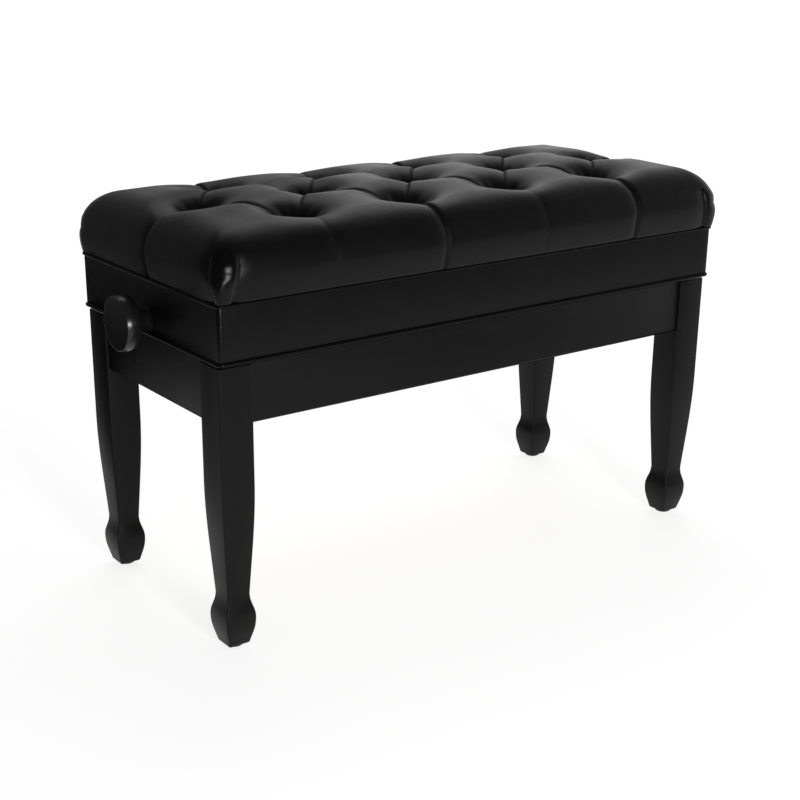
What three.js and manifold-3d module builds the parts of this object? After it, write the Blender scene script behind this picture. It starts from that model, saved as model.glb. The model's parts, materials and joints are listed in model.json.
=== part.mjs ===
// Adjustable duet piano bench: a buttoned leather seat on a seat box, which a lead screw and a
// scissor lift raise above an apron frame with four spade-foot legs. The seat is at its lowest.
// Millimetres, +Z up, +X along the bench, the player faces +Y. The origin is on the floor,
// below the middle of the bench.

import * as THREE from 'three';
import { mergeVertices } from 'three/addons/utils/BufferGeometryUtils.js';
import Module from 'manifold-3d';

const wasm = await Module();
wasm.setup();

// ---------------------------------------------------------------- driving dimensions

const GAP = 0.3;                  // clearance between pieces that touch

const SEAT_HALF_LENGTH = 381;     // over the welts
const SEAT_HALF_DEPTH = 168.5;
const SEAT_CORNER = 7;            // plan radius of the welts' outside

const FRAME_TOP = 342;
const FRAME_HALF_LENGTH = 377;    // over the legs
const FRAME_HALF_DEPTH = 161;
const LEG_WIDTH = 42.5;
const LEG_TAPER_TOP = 205;        // the leg is straight above this height
const ANKLE_HEIGHT = 67;
const ANKLE_WIDTH = 29.5;
const FOOT_HEIGHT = 38;           // the spade foot is widest here
const FOOT_WIDTH = 39.5;
const FOOT_BOTTOM_WIDTH = 27.5;
const GLIDE_HEIGHT = 3.5;
const GLIDE_RADIUS = 11;

const APRON_HEIGHT = 69;
const APRON_THICKNESS = 18;
const APRON_SETBACK = 3;          // from the legs' outer faces
const BLOCK_REACH = 84;           // corner block, along each apron
const BLOCK_HEIGHT = 50;
const BOLT_RADIUS = 4;
const BOLT_IN_LEG = 25;           // depth of the bolt in the leg's corner
const BUMPER_RADIUS = 6;
const BUMPER_X = 280;

const SKIRT_BOTTOM = 346;
const SKIRT_TOP = 413.7;
const SKIRT_THICKNESS = 15;
const COVER_THICKNESS = 2.5;      // leather and its backing
const BOTTOM_WELT_RADIUS = 2.5;
const BOTTOM_WELT_Z = 347.5;
const TOP_WELT_RADIUS = 2;
const TOP_WELT_Z = 411.7;
const DECK_THICKNESS = 12;

const CUSHION_HALF_LENGTH = 386;  // at its widest
const CUSHION_HALF_DEPTH = 173.5;
const CUSHION_WIDEST_Z = 445;
const CUSHION_TOP = 500;
const CUSHION_CROWN = 6;          // the top is this much higher in the middle
const CUSHION_EDGE_RADIUS = 27;
const CUSHION_FOOT_INSET = 6;
const CUSHION_CORNER = 16;

const ARM_LENGTH = 360;           // between end pivots
const ARM_WIDTH = 25;
const ARM_THICKNESS = 4;
const PIVOT_X = -180;             // the two fixed pivots, one above the other
const LOWER_PIVOT_Z = 302;
const SCREW_Z = 363.5;            // the upper pivots are on the screw's axis
const LIFT = 90;                  // how far the seat rises
const ARM_A_Y = 112;              // middle of each arm's thickness
const ARM_B_Y = 106;
const ROD_RADIUS = 6;
const ROD_HEAD_RADIUS = 9;
const ROD_HEAD_THICKNESS = 2;
const RUNNING_GAP = 0.3;          // round the rods, in arms, rails and slots

const RAIL_Y = 120;               // middle of the upright flange
const RAIL_THICKNESS = 3;
const RAIL_FLANGE = 17;           // width of the flat flange, beyond the upright one
const RAIL_HALF_LENGTH = 215;
const LOWER_RAIL_HEIGHT = 30;
const UPPER_RAIL_BOTTOM = 350;
const CROSSBAR_X = 195;
const CROSSBAR_WIDTH = 40;
const CROSSBAR_THICKNESS = 14;

const SCREW_RADIUS = 6;
const BLOCK_LENGTH = 30;          // thrust block and trunnion nut
const BLOCK_WIDTH = 32;
const ROD_SOCKET_DEPTH = 7;
const COLLAR_RADIUS = 11;
const COLLAR_LENGTH = 8;
const BUSHING_RADIUS = 10;
const BUSHING_FLANGE_RADIUS = 15;
const BUSHING_FLANGE = 2;

const KNOB_RADIUS = 33;
const KNOB_FACE_X = 418;
const KNOB_BACK_X = 397;
const KNOB_FACE_RADIUS = 31.5;
const KNOB_NECK_RADIUS = 12;
const KNOB_BORE_DEPTH = 13;

// ---------------------------------------------------------------- derived places

const LEG_X = FRAME_HALF_LENGTH - LEG_WIDTH / 2;
const LEG_Y = FRAME_HALF_DEPTH - LEG_WIDTH / 2;
const LEG_BOTTOM = GLIDE_HEIGHT + GAP;
const APRON_BOTTOM = FRAME_TOP - APRON_HEIGHT;
const APRON_INNER_X = FRAME_HALF_LENGTH - APRON_SETBACK - APRON_THICKNESS;
const APRON_INNER_Y = FRAME_HALF_DEPTH - APRON_SETBACK - APRON_THICKNESS;
const LEG_REACH = LEG_WIDTH - APRON_SETBACK - APRON_THICKNESS;
const BOLT_Z = FRAME_TOP - APRON_HEIGHT / 2;

// The corner block's inner face, measured along the diagonal from the leg's inner corner.
const BLOCK_FACE = (BLOCK_REACH - 2 * LEG_REACH) / Math.SQRT2;

const COVER_INSET = BOTTOM_WELT_RADIUS;
const BOARD_INSET = COVER_INSET + COVER_THICKNESS + GAP;
const BOARD_OUTER_X = SEAT_HALF_LENGTH - BOARD_INSET;
const BOARD_INNER_X = BOARD_OUTER_X - SKIRT_THICKNESS;
const BOARD_INNER_Y = SEAT_HALF_DEPTH - BOARD_INSET - SKIRT_THICKNESS;
const DECK_BOTTOM = SKIRT_TOP - DECK_THICKNESS;
const COVER_FACE_X = SEAT_HALF_LENGTH - COVER_INSET;

const REST_ANGLE = Math.asin((SCREW_Z - LOWER_PIVOT_Z) / ARM_LENGTH);
const RAISED_ANGLE = Math.asin((SCREW_Z + LIFT - LOWER_PIVOT_Z) / ARM_LENGTH);
const SLIDE_REST_X = PIVOT_X + ARM_LENGTH * Math.cos(REST_ANGLE);
const SLIDE_RAISED_X = PIVOT_X + ARM_LENGTH * Math.cos(RAISED_ANGLE);
const CENTRE_X = (PIVOT_X + SLIDE_REST_X) / 2;
const CENTRE_Z = (LOWER_PIVOT_Z + SCREW_Z) / 2;
const CROSSBAR_TOP = APRON_BOTTOM + CROSSBAR_THICKNESS;
const RAIL_OUTER_Y = RAIL_Y + RAIL_THICKNESS / 2;
const HOLE_RADIUS = ROD_RADIUS + RUNNING_GAP;

// ---------------------------------------------------------------- finishes

const FINISHES = {
  frameWood: { color: 0x191817, roughness: 0.42, metalness: 0 },
  innerWood: { color: 0x8a6a45, roughness: 0.8, metalness: 0 },
  plywood: { color: 0xb8935f, roughness: 0.8, metalness: 0 },
  leather: { color: 0x1c1b1a, roughness: 0.45, metalness: 0 },
  knob: { color: 0x0b0b0b, roughness: 0.25, metalness: 0 },
  steel: { color: 0x2a2b2c, roughness: 0.5, metalness: 0.6 },
  zinc: { color: 0xa7abae, roughness: 0.35, metalness: 1 },
  brass: { color: 0xb48a3c, roughness: 0.35, metalness: 1 },
  nylon: { color: 0x2b2b2b, roughness: 0.6, metalness: 0 },
  rubber: { color: 0x8f8f8c, roughness: 0.8, metalness: 0 },
};

// ---------------------------------------------------------------- small tools

const FRONT_BACK = [['front', -1], ['back', 1]];
const LEFT_RIGHT = [['left', -1], ['right', 1]];
const CORNERS = FRONT_BACK.flatMap(([depthName, ySide]) =>
  LEFT_RIGHT.map(([lengthName, xSide]) => [`${depthName}_${lengthName}`, xSide, ySide]));

// Makes a named mesh with a material of its own.
function piece(name, geometry, finish) {
  const mesh = new THREE.Mesh(geometry, new THREE.MeshStandardMaterial(FINISHES[finish]));
  mesh.name = name;
  return mesh;
}

function solidOf(geometry) {
  const bare = geometry.clone();
  bare.deleteAttribute('normal');
  bare.deleteAttribute('uv');
  const merged = mergeVertices(bare, 1e-4);
  return new wasm.Manifold(new wasm.Mesh({
    numProp: 3,
    vertProperties: new Float32Array(merged.attributes.position.array),
    triVerts: new Uint32Array(merged.index.array),
  }));
}

function geometryOf(solid) {
  const mesh = solid.getMesh();
  const geometry = new THREE.BufferGeometry();
  geometry.setAttribute('position', new THREE.BufferAttribute(mesh.vertProperties, 3));
  geometry.setIndex(new THREE.BufferAttribute(mesh.triVerts, 1));
  return geometry;
}

function cut(geometry, ...tools) {
  return geometryOf(tools.reduce((solid, tool) => solid.subtract(solidOf(tool)), solidOf(geometry)));
}

function join(geometry, ...others) {
  return geometryOf(others.reduce((solid, other) => solid.add(solidOf(other)), solidOf(geometry)));
}

function overlapOf(geometry, ...others) {
  return geometryOf(others.reduce((solid, other) => solid.intersect(solidOf(other)), solidOf(geometry)));
}

// A box between two opposite corners.
function boxBetween(low, high) {
  const size = high.map((value, i) => value - low[i]);
  return new THREE.BoxGeometry(...size).translate(...high.map((value, i) => (value + low[i]) / 2));
}

// A turned piece about +Z. The outline is a list of [radius, height], from axis to axis.
function turned(outline, segments = 18) {
  const points = outline.map(([radius, height]) => new THREE.Vector2(radius, height));
  return new THREE.LatheGeometry(points, segments).rotateX(Math.PI / 2);
}

// Moves a piece made about +Z so that it lies along +X or +Y.
const alongX = (geometry) => geometry.rotateY(Math.PI / 2);
const alongY = (geometry) => geometry.rotateX(-Math.PI / 2);

// A plain round bar between two heights, in either order, about +Z.
function bar(radius, from, to, segments = 16) {
  const [low, high] = [Math.min(from, to), Math.max(from, to)];
  return turned([[0, low], [radius, low], [radius, high], [0, high]], segments);
}

function shapeOf(points) {
  return new THREE.Shape(points.map(([x, y]) => new THREE.Vector2(x, y)));
}

function extruded(shape, depth, curveSegments = 5) {
  return new THREE.ExtrudeGeometry(shape, { depth, bevelEnabled: false, curveSegments });
}

function roundedRectangle(halfLength, halfDepth, radius, Outline = THREE.Shape) {
  const outline = new Outline();
  outline.absarc(halfLength - radius, halfDepth - radius, radius, 0, Math.PI / 2);
  outline.absarc(radius - halfLength, halfDepth - radius, radius, Math.PI / 2, Math.PI);
  outline.absarc(radius - halfLength, radius - halfDepth, radius, Math.PI, 1.5 * Math.PI);
  outline.absarc(halfLength - radius, radius - halfDepth, radius, 1.5 * Math.PI, 2 * Math.PI);
  outline.closePath();
  return outline;
}

// The seat box's plan outline, drawn in from the outside of the welts.
function seatOutline(inset, Outline = THREE.Shape) {
  const halfLength = SEAT_HALF_LENGTH - inset;
  const halfDepth = SEAT_HALF_DEPTH - inset;
  return roundedRectangle(halfLength, halfDepth, SEAT_CORNER - inset, Outline);
}

// A bar with round ends, as a plan outline.
function stadium(halfLength, radius) {
  const outline = new THREE.Shape();
  outline.absarc(halfLength, 0, radius, -Math.PI / 2, Math.PI / 2);
  outline.absarc(-halfLength, 0, radius, Math.PI / 2, 1.5 * Math.PI);
  outline.closePath();
  return outline;
}

function roundHole(x, radius) {
  const hole = new THREE.Path();
  hole.absarc(x, 0, radius, 0, 2 * Math.PI);
  return hole;
}

// ---------------------------------------------------------------- legs and their bolts

// Half-widths of the leg up its height: foot, ankle, taper and straight top.
function legOutline() {
  const halves = [FOOT_BOTTOM_WIDTH, FOOT_WIDTH, ANKLE_WIDTH, LEG_WIDTH].map((width) => width / 2);
  const [bottom, foot, ankle, top] = halves;
  const outline = new THREE.Path();
  outline.moveTo(0, LEG_BOTTOM);
  outline.lineTo(bottom, LEG_BOTTOM);
  outline.bezierCurveTo(bottom + 3.5, LEG_BOTTOM + 15, foot, FOOT_HEIGHT - 14, foot, FOOT_HEIGHT);
  outline.bezierCurveTo(foot, FOOT_HEIGHT + 11, ankle, ANKLE_HEIGHT - 13, ankle, ANKLE_HEIGHT);
  outline.bezierCurveTo(ankle + 3.4, ANKLE_HEIGHT + 57, top, LEG_TAPER_TOP - 47, top, LEG_TAPER_TOP);
  outline.lineTo(top, FRAME_TOP);
  outline.lineTo(0, FRAME_TOP);
  return outline.getPoints(7).map((point) => [point.x * Math.SQRT2, point.y]);
}

// A tool for the diagonal through a frame corner: +Z becomes the way from the leg's inner
// corner towards the middle of the bench.
function alongCorner(geometry, xSide, ySide) {
  const inward = new THREE.Vector3(-xSide, -ySide, 0).normalize();
  const turn = new THREE.Quaternion().setFromUnitVectors(new THREE.Vector3(0, 0, 1), inward);
  const cornerX = xSide * (FRAME_HALF_LENGTH - LEG_WIDTH);
  const cornerY = ySide * (FRAME_HALF_DEPTH - LEG_WIDTH);
  return geometry.applyQuaternion(turn).translate(cornerX, cornerY, BOLT_Z);
}

function boltHole(xSide, ySide) {
  const hole = bar(BOLT_RADIUS + GAP, -BOLT_IN_LEG - GAP, BLOCK_FACE + 5);
  return alongCorner(hole, xSide, ySide);
}

function leg(xSide, ySide) {
  const square = turned(legOutline(), 4).rotateZ(Math.PI / 4);
  const placed = square.translate(xSide * LEG_X, ySide * LEG_Y, 0);
  return cut(placed, boltHole(xSide, ySide));
}

function glide(xSide, ySide) {
  const edge = 1;
  const outline = [
    [0, 0], [GLIDE_RADIUS - edge, 0], [GLIDE_RADIUS, edge],
    [GLIDE_RADIUS, GLIDE_HEIGHT - edge], [GLIDE_RADIUS - edge, GLIDE_HEIGHT], [0, GLIDE_HEIGHT],
  ];
  return turned(outline).translate(xSide * LEG_X, ySide * LEG_Y, 0);
}

function cornerBlock(xSide, ySide) {
  const near = LEG_REACH + GAP;
  const far = BLOCK_REACH - GAP;
  const plan = [[near, GAP], [far, GAP], [GAP, far], [GAP, near], [near, near]];
  const corners = plan.map(([alongLength, alongDepth]) => [
    xSide * (APRON_INNER_X - alongLength),
    ySide * (APRON_INNER_Y - alongDepth),
  ]);
  const block = extruded(shapeOf(corners), BLOCK_HEIGHT).translate(0, 0, BOLT_Z - BLOCK_HEIGHT / 2);
  return cut(block, boltHole(xSide, ySide));
}

// A hanger bolt with its washer and hexagon nut on the block's inner face.
function legBolt(xSide, ySide) {
  const washer = BLOCK_FACE + GAP;
  const nut = washer + 1.6;
  const end = nut + 6.5;
  const shank = turned([
    [0, -BOLT_IN_LEG], [BOLT_RADIUS, 3 - BOLT_IN_LEG], [BOLT_RADIUS, washer], [9, washer],
    [9, nut], [BOLT_RADIUS, nut], [BOLT_RADIUS, end + 4], [0, end + 5],
  ], 12);
  const hexagon = turned([[0, nut - 0.5], [7.5, nut - 0.5], [7.5, end], [0, end]], 6);
  return alongCorner(join(shank, hexagon), xSide, ySide);
}

// ---------------------------------------------------------------- apron frame

// How far each apron is turned from the right-hand one, which faces +X.
const APRON_TURN = { right: 0, back: Math.PI / 2, left: Math.PI, front: -Math.PI / 2 };

// A board with an eased lower outer edge.
function apron(name, halfSpan, outer) {
  const ease = 2;
  const inner = outer - APRON_THICKNESS;
  const section = shapeOf([
    [inner, APRON_BOTTOM], [outer - ease, APRON_BOTTOM], [outer, APRON_BOTTOM + ease],
    [outer, FRAME_TOP], [inner, FRAME_TOP],
  ]);
  const board = extruded(section, 2 * halfSpan).translate(0, 0, -halfSpan);
  return board.rotateX(Math.PI / 2).rotateZ(APRON_TURN[name]);
}

function apronFrame() {
  const group = new THREE.Group();
  const longSpan = FRAME_HALF_LENGTH - LEG_WIDTH - GAP;
  const shortSpan = FRAME_HALF_DEPTH - LEG_WIDTH - GAP;
  for (const [name] of FRONT_BACK) {
    const board = apron(name, longSpan, FRAME_HALF_DEPTH - APRON_SETBACK);
    group.add(piece(`apron_${name}`, board, 'frameWood'));
  }
  for (const [name, side] of LEFT_RIGHT) {
    const board = apron(name, shortSpan, FRAME_HALF_LENGTH - APRON_SETBACK);
    group.add(piece(`apron_${name}`, board, 'frameWood'));
    group.add(piece(`crossbar_${name}`, crossbar(side), 'innerWood'));
  }
  for (const [name, xSide, ySide] of CORNERS) {
    group.add(piece(`leg_${name}`, leg(xSide, ySide), 'frameWood'));
    group.add(piece(`glide_${name}`, glide(xSide, ySide), 'nylon'));
    group.add(piece(`corner_block_${name}`, cornerBlock(xSide, ySide), 'innerWood'));
    group.add(piece(`leg_bolt_${name}`, legBolt(xSide, ySide), 'zinc'));
    group.add(piece(`bumper_${name}`, bumper(xSide, ySide), 'rubber'));
  }
  return group;
}

function crossbar(side) {
  const halfSpan = APRON_INNER_Y - GAP;
  const middle = side * CROSSBAR_X;
  return boxBetween(
    [middle - CROSSBAR_WIDTH / 2, -halfSpan, APRON_BOTTOM],
    [middle + CROSSBAR_WIDTH / 2, halfSpan, CROSSBAR_TOP],
  );
}

// A low dome on the long apron, which the seat box comes down on.
function bumper(xSide, ySide) {
  const height = SKIRT_BOTTOM - FRAME_TOP - 2 * GAP;
  const outline = [
    [0, 0], [BUMPER_RADIUS, 0], [BUMPER_RADIUS, height / 2],
    [BUMPER_RADIUS - 1, height], [0, height],
  ];
  const middleY = FRAME_HALF_DEPTH - APRON_SETBACK - APRON_THICKNESS / 2;
  return turned(outline, 14).translate(xSide * BUMPER_X, ySide * middleY, FRAME_TOP + GAP);
}

// ---------------------------------------------------------------- scissor lift

// A steel angle along X: upright flange with a round hole at the fixed pivot and a slot at
// the sliding one, and a flat flange that turns outwards at its foot or its head.
function rail(side, low, high, flatAtTop, holeZ) {
  const inner = RAIL_Y - RAIL_THICKNESS / 2;
  const flangeEnd = RAIL_OUTER_Y + RAIL_FLANGE;
  const flatLow = flatAtTop ? high - RAIL_THICKNESS : low;
  const flatHigh = flatLow + RAIL_THICKNESS;
  const upright = boxAlongRail(side, inner, RAIL_OUTER_Y, low, high);
  const flat = boxAlongRail(side, inner, flangeEnd, flatLow, flatHigh);
  const reach = side * (RAIL_OUTER_Y + 5);
  const hole = alongY(bar(HOLE_RADIUS, 0, reach)).translate(PIVOT_X, 0, holeZ);
  const slotShape = stadium((SLIDE_REST_X - SLIDE_RAISED_X) / 2, HOLE_RADIUS);
  const slotMiddle = (SLIDE_REST_X + SLIDE_RAISED_X) / 2;
  const slot = extruded(slotShape, Math.abs(reach)).rotateX(side > 0 ? -Math.PI / 2 : Math.PI / 2);
  return cut(join(upright, flat), hole, slot.translate(slotMiddle, 0, holeZ));
}

function boxAlongRail(side, inner, outer, low, high) {
  const near = Math.min(side * inner, side * outer);
  const far = Math.max(side * inner, side * outer);
  return boxBetween([-RAIL_HALF_LENGTH, near, low], [RAIL_HALF_LENGTH, far, high]);
}

// A flat bar with a hole at each end and one in the middle, turned about its middle.
function arm(y, slope) {
  const shape = stadium(ARM_LENGTH / 2, ARM_WIDTH / 2);
  for (const x of [-ARM_LENGTH / 2, 0, ARM_LENGTH / 2]) shape.holes.push(roundHole(x, HOLE_RADIUS));
  const flat = extruded(shape, ARM_THICKNESS, 8).translate(0, 0, -ARM_THICKNESS / 2);
  return flat.rotateX(Math.PI / 2).rotateY(-slope).translate(CENTRE_X, y, CENTRE_Z);
}

// A cross rod from front to back, with riveted heads outside the last piece it passes through.
function crossRod(x, z, headAt) {
  const end = headAt + ROD_HEAD_THICKNESS;
  const outline = [
    [0, -end], [ROD_HEAD_RADIUS, -end], [ROD_HEAD_RADIUS, -headAt], [ROD_RADIUS, -headAt],
    [ROD_RADIUS, headAt], [ROD_HEAD_RADIUS, headAt], [ROD_HEAD_RADIUS, end], [0, end],
  ];
  return alongY(turned(outline)).translate(x, 0, z);
}

// A rod that is fixed in the thrust block or the trunnion nut and points to one side.
function stubRod(x, z, side) {
  const start = BLOCK_WIDTH / 2 - ROD_SOCKET_DEPTH;
  const headAt = RAIL_OUTER_Y + GAP;
  const end = headAt + ROD_HEAD_THICKNESS;
  const outline = [
    [0, start], [ROD_RADIUS, start], [ROD_RADIUS, headAt],
    [ROD_HEAD_RADIUS, headAt], [ROD_HEAD_RADIUS, end], [0, end],
  ];
  const rod = alongY(turned(outline));
  return (side > 0 ? rod : rod.rotateZ(Math.PI)).translate(x, 0, z);
}

// A steel block on the screw, with a bore along X and a socket for a rod on each side.
function screwBlock(x) {
  const half = BLOCK_LENGTH / 2;
  const halfWidth = BLOCK_WIDTH / 2;
  const block = boxBetween([-half, -halfWidth, -half], [half, halfWidth, half]);
  const bore = alongX(bar(SCREW_RADIUS + RUNNING_GAP, -half - 1, half + 1));
  const socketStart = halfWidth - ROD_SOCKET_DEPTH - GAP;
  const sockets = FRONT_BACK.map(([, side]) =>
    alongY(bar(HOLE_RADIUS, side * socketStart, side * (halfWidth + 1))));
  return cut(block, bore, ...sockets).translate(x, 0, SCREW_Z);
}

function fixedLiftParts() {
  const group = new THREE.Group();
  for (const [name, side] of FRONT_BACK) {
    const top = CROSSBAR_TOP + GAP + LOWER_RAIL_HEIGHT;
    const angle = rail(side, CROSSBAR_TOP + GAP, top, false, LOWER_PIVOT_Z);
    group.add(piece(`lower_rail_${name}`, angle, 'steel'));
  }
  const rod = crossRod(PIVOT_X, LOWER_PIVOT_Z, RAIL_OUTER_Y + GAP);
  group.add(piece('lower_pivot_rod', rod, 'zinc'));
  return group;
}

function armPairA() {
  const group = new THREE.Group();
  for (const [name, side] of FRONT_BACK) {
    group.add(piece(`arm_a_${name}`, arm(side * ARM_A_Y, REST_ANGLE), 'steel'));
  }
  const headAt = ARM_A_Y + ARM_THICKNESS / 2 + GAP;
  group.add(piece('centre_rod', crossRod(CENTRE_X, CENTRE_Z, headAt), 'zinc'));
  return group;
}

function armPairB() {
  const group = new THREE.Group();
  for (const [name, side] of FRONT_BACK) {
    group.add(piece(`arm_b_${name}`, arm(side * ARM_B_Y, -REST_ANGLE), 'steel'));
  }
  const rod = crossRod(SLIDE_REST_X, LOWER_PIVOT_Z, RAIL_OUTER_Y + GAP);
  group.add(piece('slide_rod', rod, 'zinc'));
  return group;
}

function trunnionNut() {
  const group = new THREE.Group();
  group.add(piece('trunnion_nut', screwBlock(SLIDE_REST_X), 'brass'));
  for (const [name, side] of FRONT_BACK) {
    group.add(piece(`nut_rod_${name}`, stubRod(SLIDE_REST_X, SCREW_Z, side), 'zinc'));
  }
  return group;
}

// ---------------------------------------------------------------- seat box and cushion

// The long boards run the whole length and have rounded outer corners; the end boards fit
// between them and have a hole for the screw's bushing.
function longBoard(side) {
  const outline = extruded(seatOutline(BOARD_INSET), SKIRT_TOP - SKIRT_BOTTOM).translate(0, 0, SKIRT_BOTTOM);
  const keep = side > 0
    ? boxBetween([-400, BOARD_INNER_Y, 300], [400, 200, 450])
    : boxBetween([-400, -200, 300], [400, -BOARD_INNER_Y, 450]);
  return overlapOf(outline, keep);
}

function endBoard(side) {
  const near = Math.min(side * BOARD_INNER_X, side * BOARD_OUTER_X);
  const halfSpan = BOARD_INNER_Y - GAP;
  const board = boxBetween(
    [near, -halfSpan, SKIRT_BOTTOM],
    [near + SKIRT_THICKNESS, halfSpan, SKIRT_TOP],
  );
  return cut(board, bushingHole(side));
}

function bushingHole(side) {
  const hole = bar(BUSHING_RADIUS + GAP, side * (BOARD_INNER_X - 5), side * (SEAT_HALF_LENGTH + 5));
  return alongX(hole).translate(0, 0, SCREW_Z);
}

// The leather band round the box, between the two welts, with a hole for each bushing.
function skirtCover() {
  const band = seatOutline(COVER_INSET);
  band.holes.push(seatOutline(COVER_INSET + COVER_THICKNESS, THREE.Path));
  const low = BOTTOM_WELT_Z + BOTTOM_WELT_RADIUS + GAP;
  const high = TOP_WELT_Z - TOP_WELT_RADIUS - GAP;
  const wall = extruded(band, high - low).translate(0, 0, low);
  return cut(wall, bushingHole(-1), bushingHole(1));
}

// Piping round the seat box: a narrow ring along the cord's centre line, made round by the
// bevel on all of its edges.
function welt(radius, z) {
  const core = 0.5;
  const bevel = radius - core / 2;
  const ring = seatOutline(radius - core / 2);
  ring.holes.push(seatOutline(radius + core / 2, THREE.Path));
  const settings = {
    depth: core, curveSegments: 4, bevelSize: bevel, bevelThickness: bevel, bevelSegments: 2,
  };
  return new THREE.ExtrudeGeometry(ring, settings).translate(0, 0, z - core / 2);
}

function deck() {
  const halfLength = BOARD_INNER_X - GAP;
  const halfDepth = BOARD_INNER_Y - GAP;
  return boxBetween([-halfLength, -halfDepth, DECK_BOTTOM], [halfLength, halfDepth, SKIRT_TOP]);
}

// One side view of the cushion: sides that swell from the foot to the widest height, a round
// shoulder and a slightly crowned top. The view is drawn in X and Z.
function cushionView(halfWidth) {
  const foot = halfWidth - CUSHION_FOOT_INSET;
  const bottom = SKIRT_TOP + GAP;
  const edge = CUSHION_TOP - CUSHION_CROWN;
  const shoulder = edge - CUSHION_EDGE_RADIUS;
  const flat = halfWidth - CUSHION_EDGE_RADIUS;
  const view = new THREE.Shape();
  view.moveTo(-foot, bottom);
  view.lineTo(foot, bottom);
  view.quadraticCurveTo(halfWidth, CUSHION_WIDEST_Z - 16, halfWidth, CUSHION_WIDEST_Z);
  view.lineTo(halfWidth, shoulder);
  view.quadraticCurveTo(halfWidth, edge - 2, flat, edge);
  view.quadraticCurveTo(0, CUSHION_TOP + CUSHION_CROWN, -flat, edge);
  view.quadraticCurveTo(-halfWidth, edge - 2, -halfWidth, shoulder);
  view.lineTo(-halfWidth, CUSHION_WIDEST_Z);
  view.quadraticCurveTo(-halfWidth, CUSHION_WIDEST_Z - 16, -foot, bottom);
  return view;
}

function cushion() {
  const plan = roundedRectangle(CUSHION_HALF_LENGTH, CUSHION_HALF_DEPTH, CUSHION_CORNER);
  const upright = extruded(plan, 200).translate(0, 0, 350);
  const front = extruded(cushionView(CUSHION_HALF_LENGTH), 500).translate(0, 0, -250);
  const end = extruded(cushionView(CUSHION_HALF_DEPTH), 1000).translate(0, 0, -500);
  return overlapOf(upright, front.rotateX(Math.PI / 2), end.rotateX(Math.PI / 2).rotateZ(Math.PI / 2));
}

// A flanged sleeve in an end board, for the screw.
function screwBushing(side) {
  const bore = SCREW_RADIUS + RUNNING_GAP;
  const flangeFace = BOARD_INNER_X - GAP;
  const outline = [
    [bore, flangeFace - BUSHING_FLANGE], [BUSHING_FLANGE_RADIUS, flangeFace - BUSHING_FLANGE],
    [BUSHING_FLANGE_RADIUS, flangeFace], [BUSHING_RADIUS, flangeFace],
    [BUSHING_RADIUS, COVER_FACE_X], [bore, COVER_FACE_X], [bore, flangeFace - BUSHING_FLANGE],
  ];
  return alongX(turned(outline)).rotateZ(side > 0 ? 0 : Math.PI).translate(0, 0, SCREW_Z);
}

function seatBox() {
  const group = new THREE.Group();
  for (const [name, side] of FRONT_BACK) {
    group.add(piece(`skirt_${name}`, longBoard(side), 'frameWood'));
    const angle = rail(side, UPPER_RAIL_BOTTOM, DECK_BOTTOM - GAP, true, SCREW_Z);
    group.add(piece(`upper_rail_${name}`, angle, 'steel'));
    group.add(piece(`thrust_rod_${name}`, stubRod(PIVOT_X, SCREW_Z, side), 'zinc'));
  }
  for (const [name, side] of LEFT_RIGHT) {
    group.add(piece(`skirt_${name}`, endBoard(side), 'frameWood'));
    group.add(piece(`screw_bushing_${name}`, screwBushing(side), 'nylon'));
  }
  group.add(piece('thrust_block', screwBlock(PIVOT_X), 'steel'));
  group.add(piece('deck', deck(), 'plywood'));
  group.add(piece('skirt_cover', skirtCover(), 'leather'));
  group.add(piece('welt_bottom', welt(BOTTOM_WELT_RADIUS, BOTTOM_WELT_Z), 'leather'));
  group.add(piece('welt_top', welt(TOP_WELT_RADIUS, TOP_WELT_Z), 'leather'));
  group.add(piece('cushion', cushion(), 'leather'));
  return group;
}

// ---------------------------------------------------------------- screw and knobs

function leadScrew() {
  const end = KNOB_BACK_X + KNOB_BORE_DEPTH - GAP;
  const chamfer = 1.5;
  const outline = [
    [0, -end], [SCREW_RADIUS - chamfer, -end], [SCREW_RADIUS, chamfer - end],
    [SCREW_RADIUS, end - chamfer], [SCREW_RADIUS - chamfer, end], [0, end],
  ];
  return alongX(turned(outline)).translate(0, 0, SCREW_Z);
}

// A collar on the screw, on one side of the thrust block.
function thrustCollar(side) {
  const bore = SCREW_RADIUS + GAP;
  const start = BLOCK_LENGTH / 2 + GAP;
  const end = start + COLLAR_LENGTH;
  const outline = [
    [bore, start], [COLLAR_RADIUS, start], [COLLAR_RADIUS, end - 1], [COLLAR_RADIUS - 1, end],
    [bore, end], [bore, start],
  ];
  return alongX(turned(outline)).rotateZ(side > 0 ? 0 : Math.PI).translate(PIVOT_X, 0, SCREW_Z);
}

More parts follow.
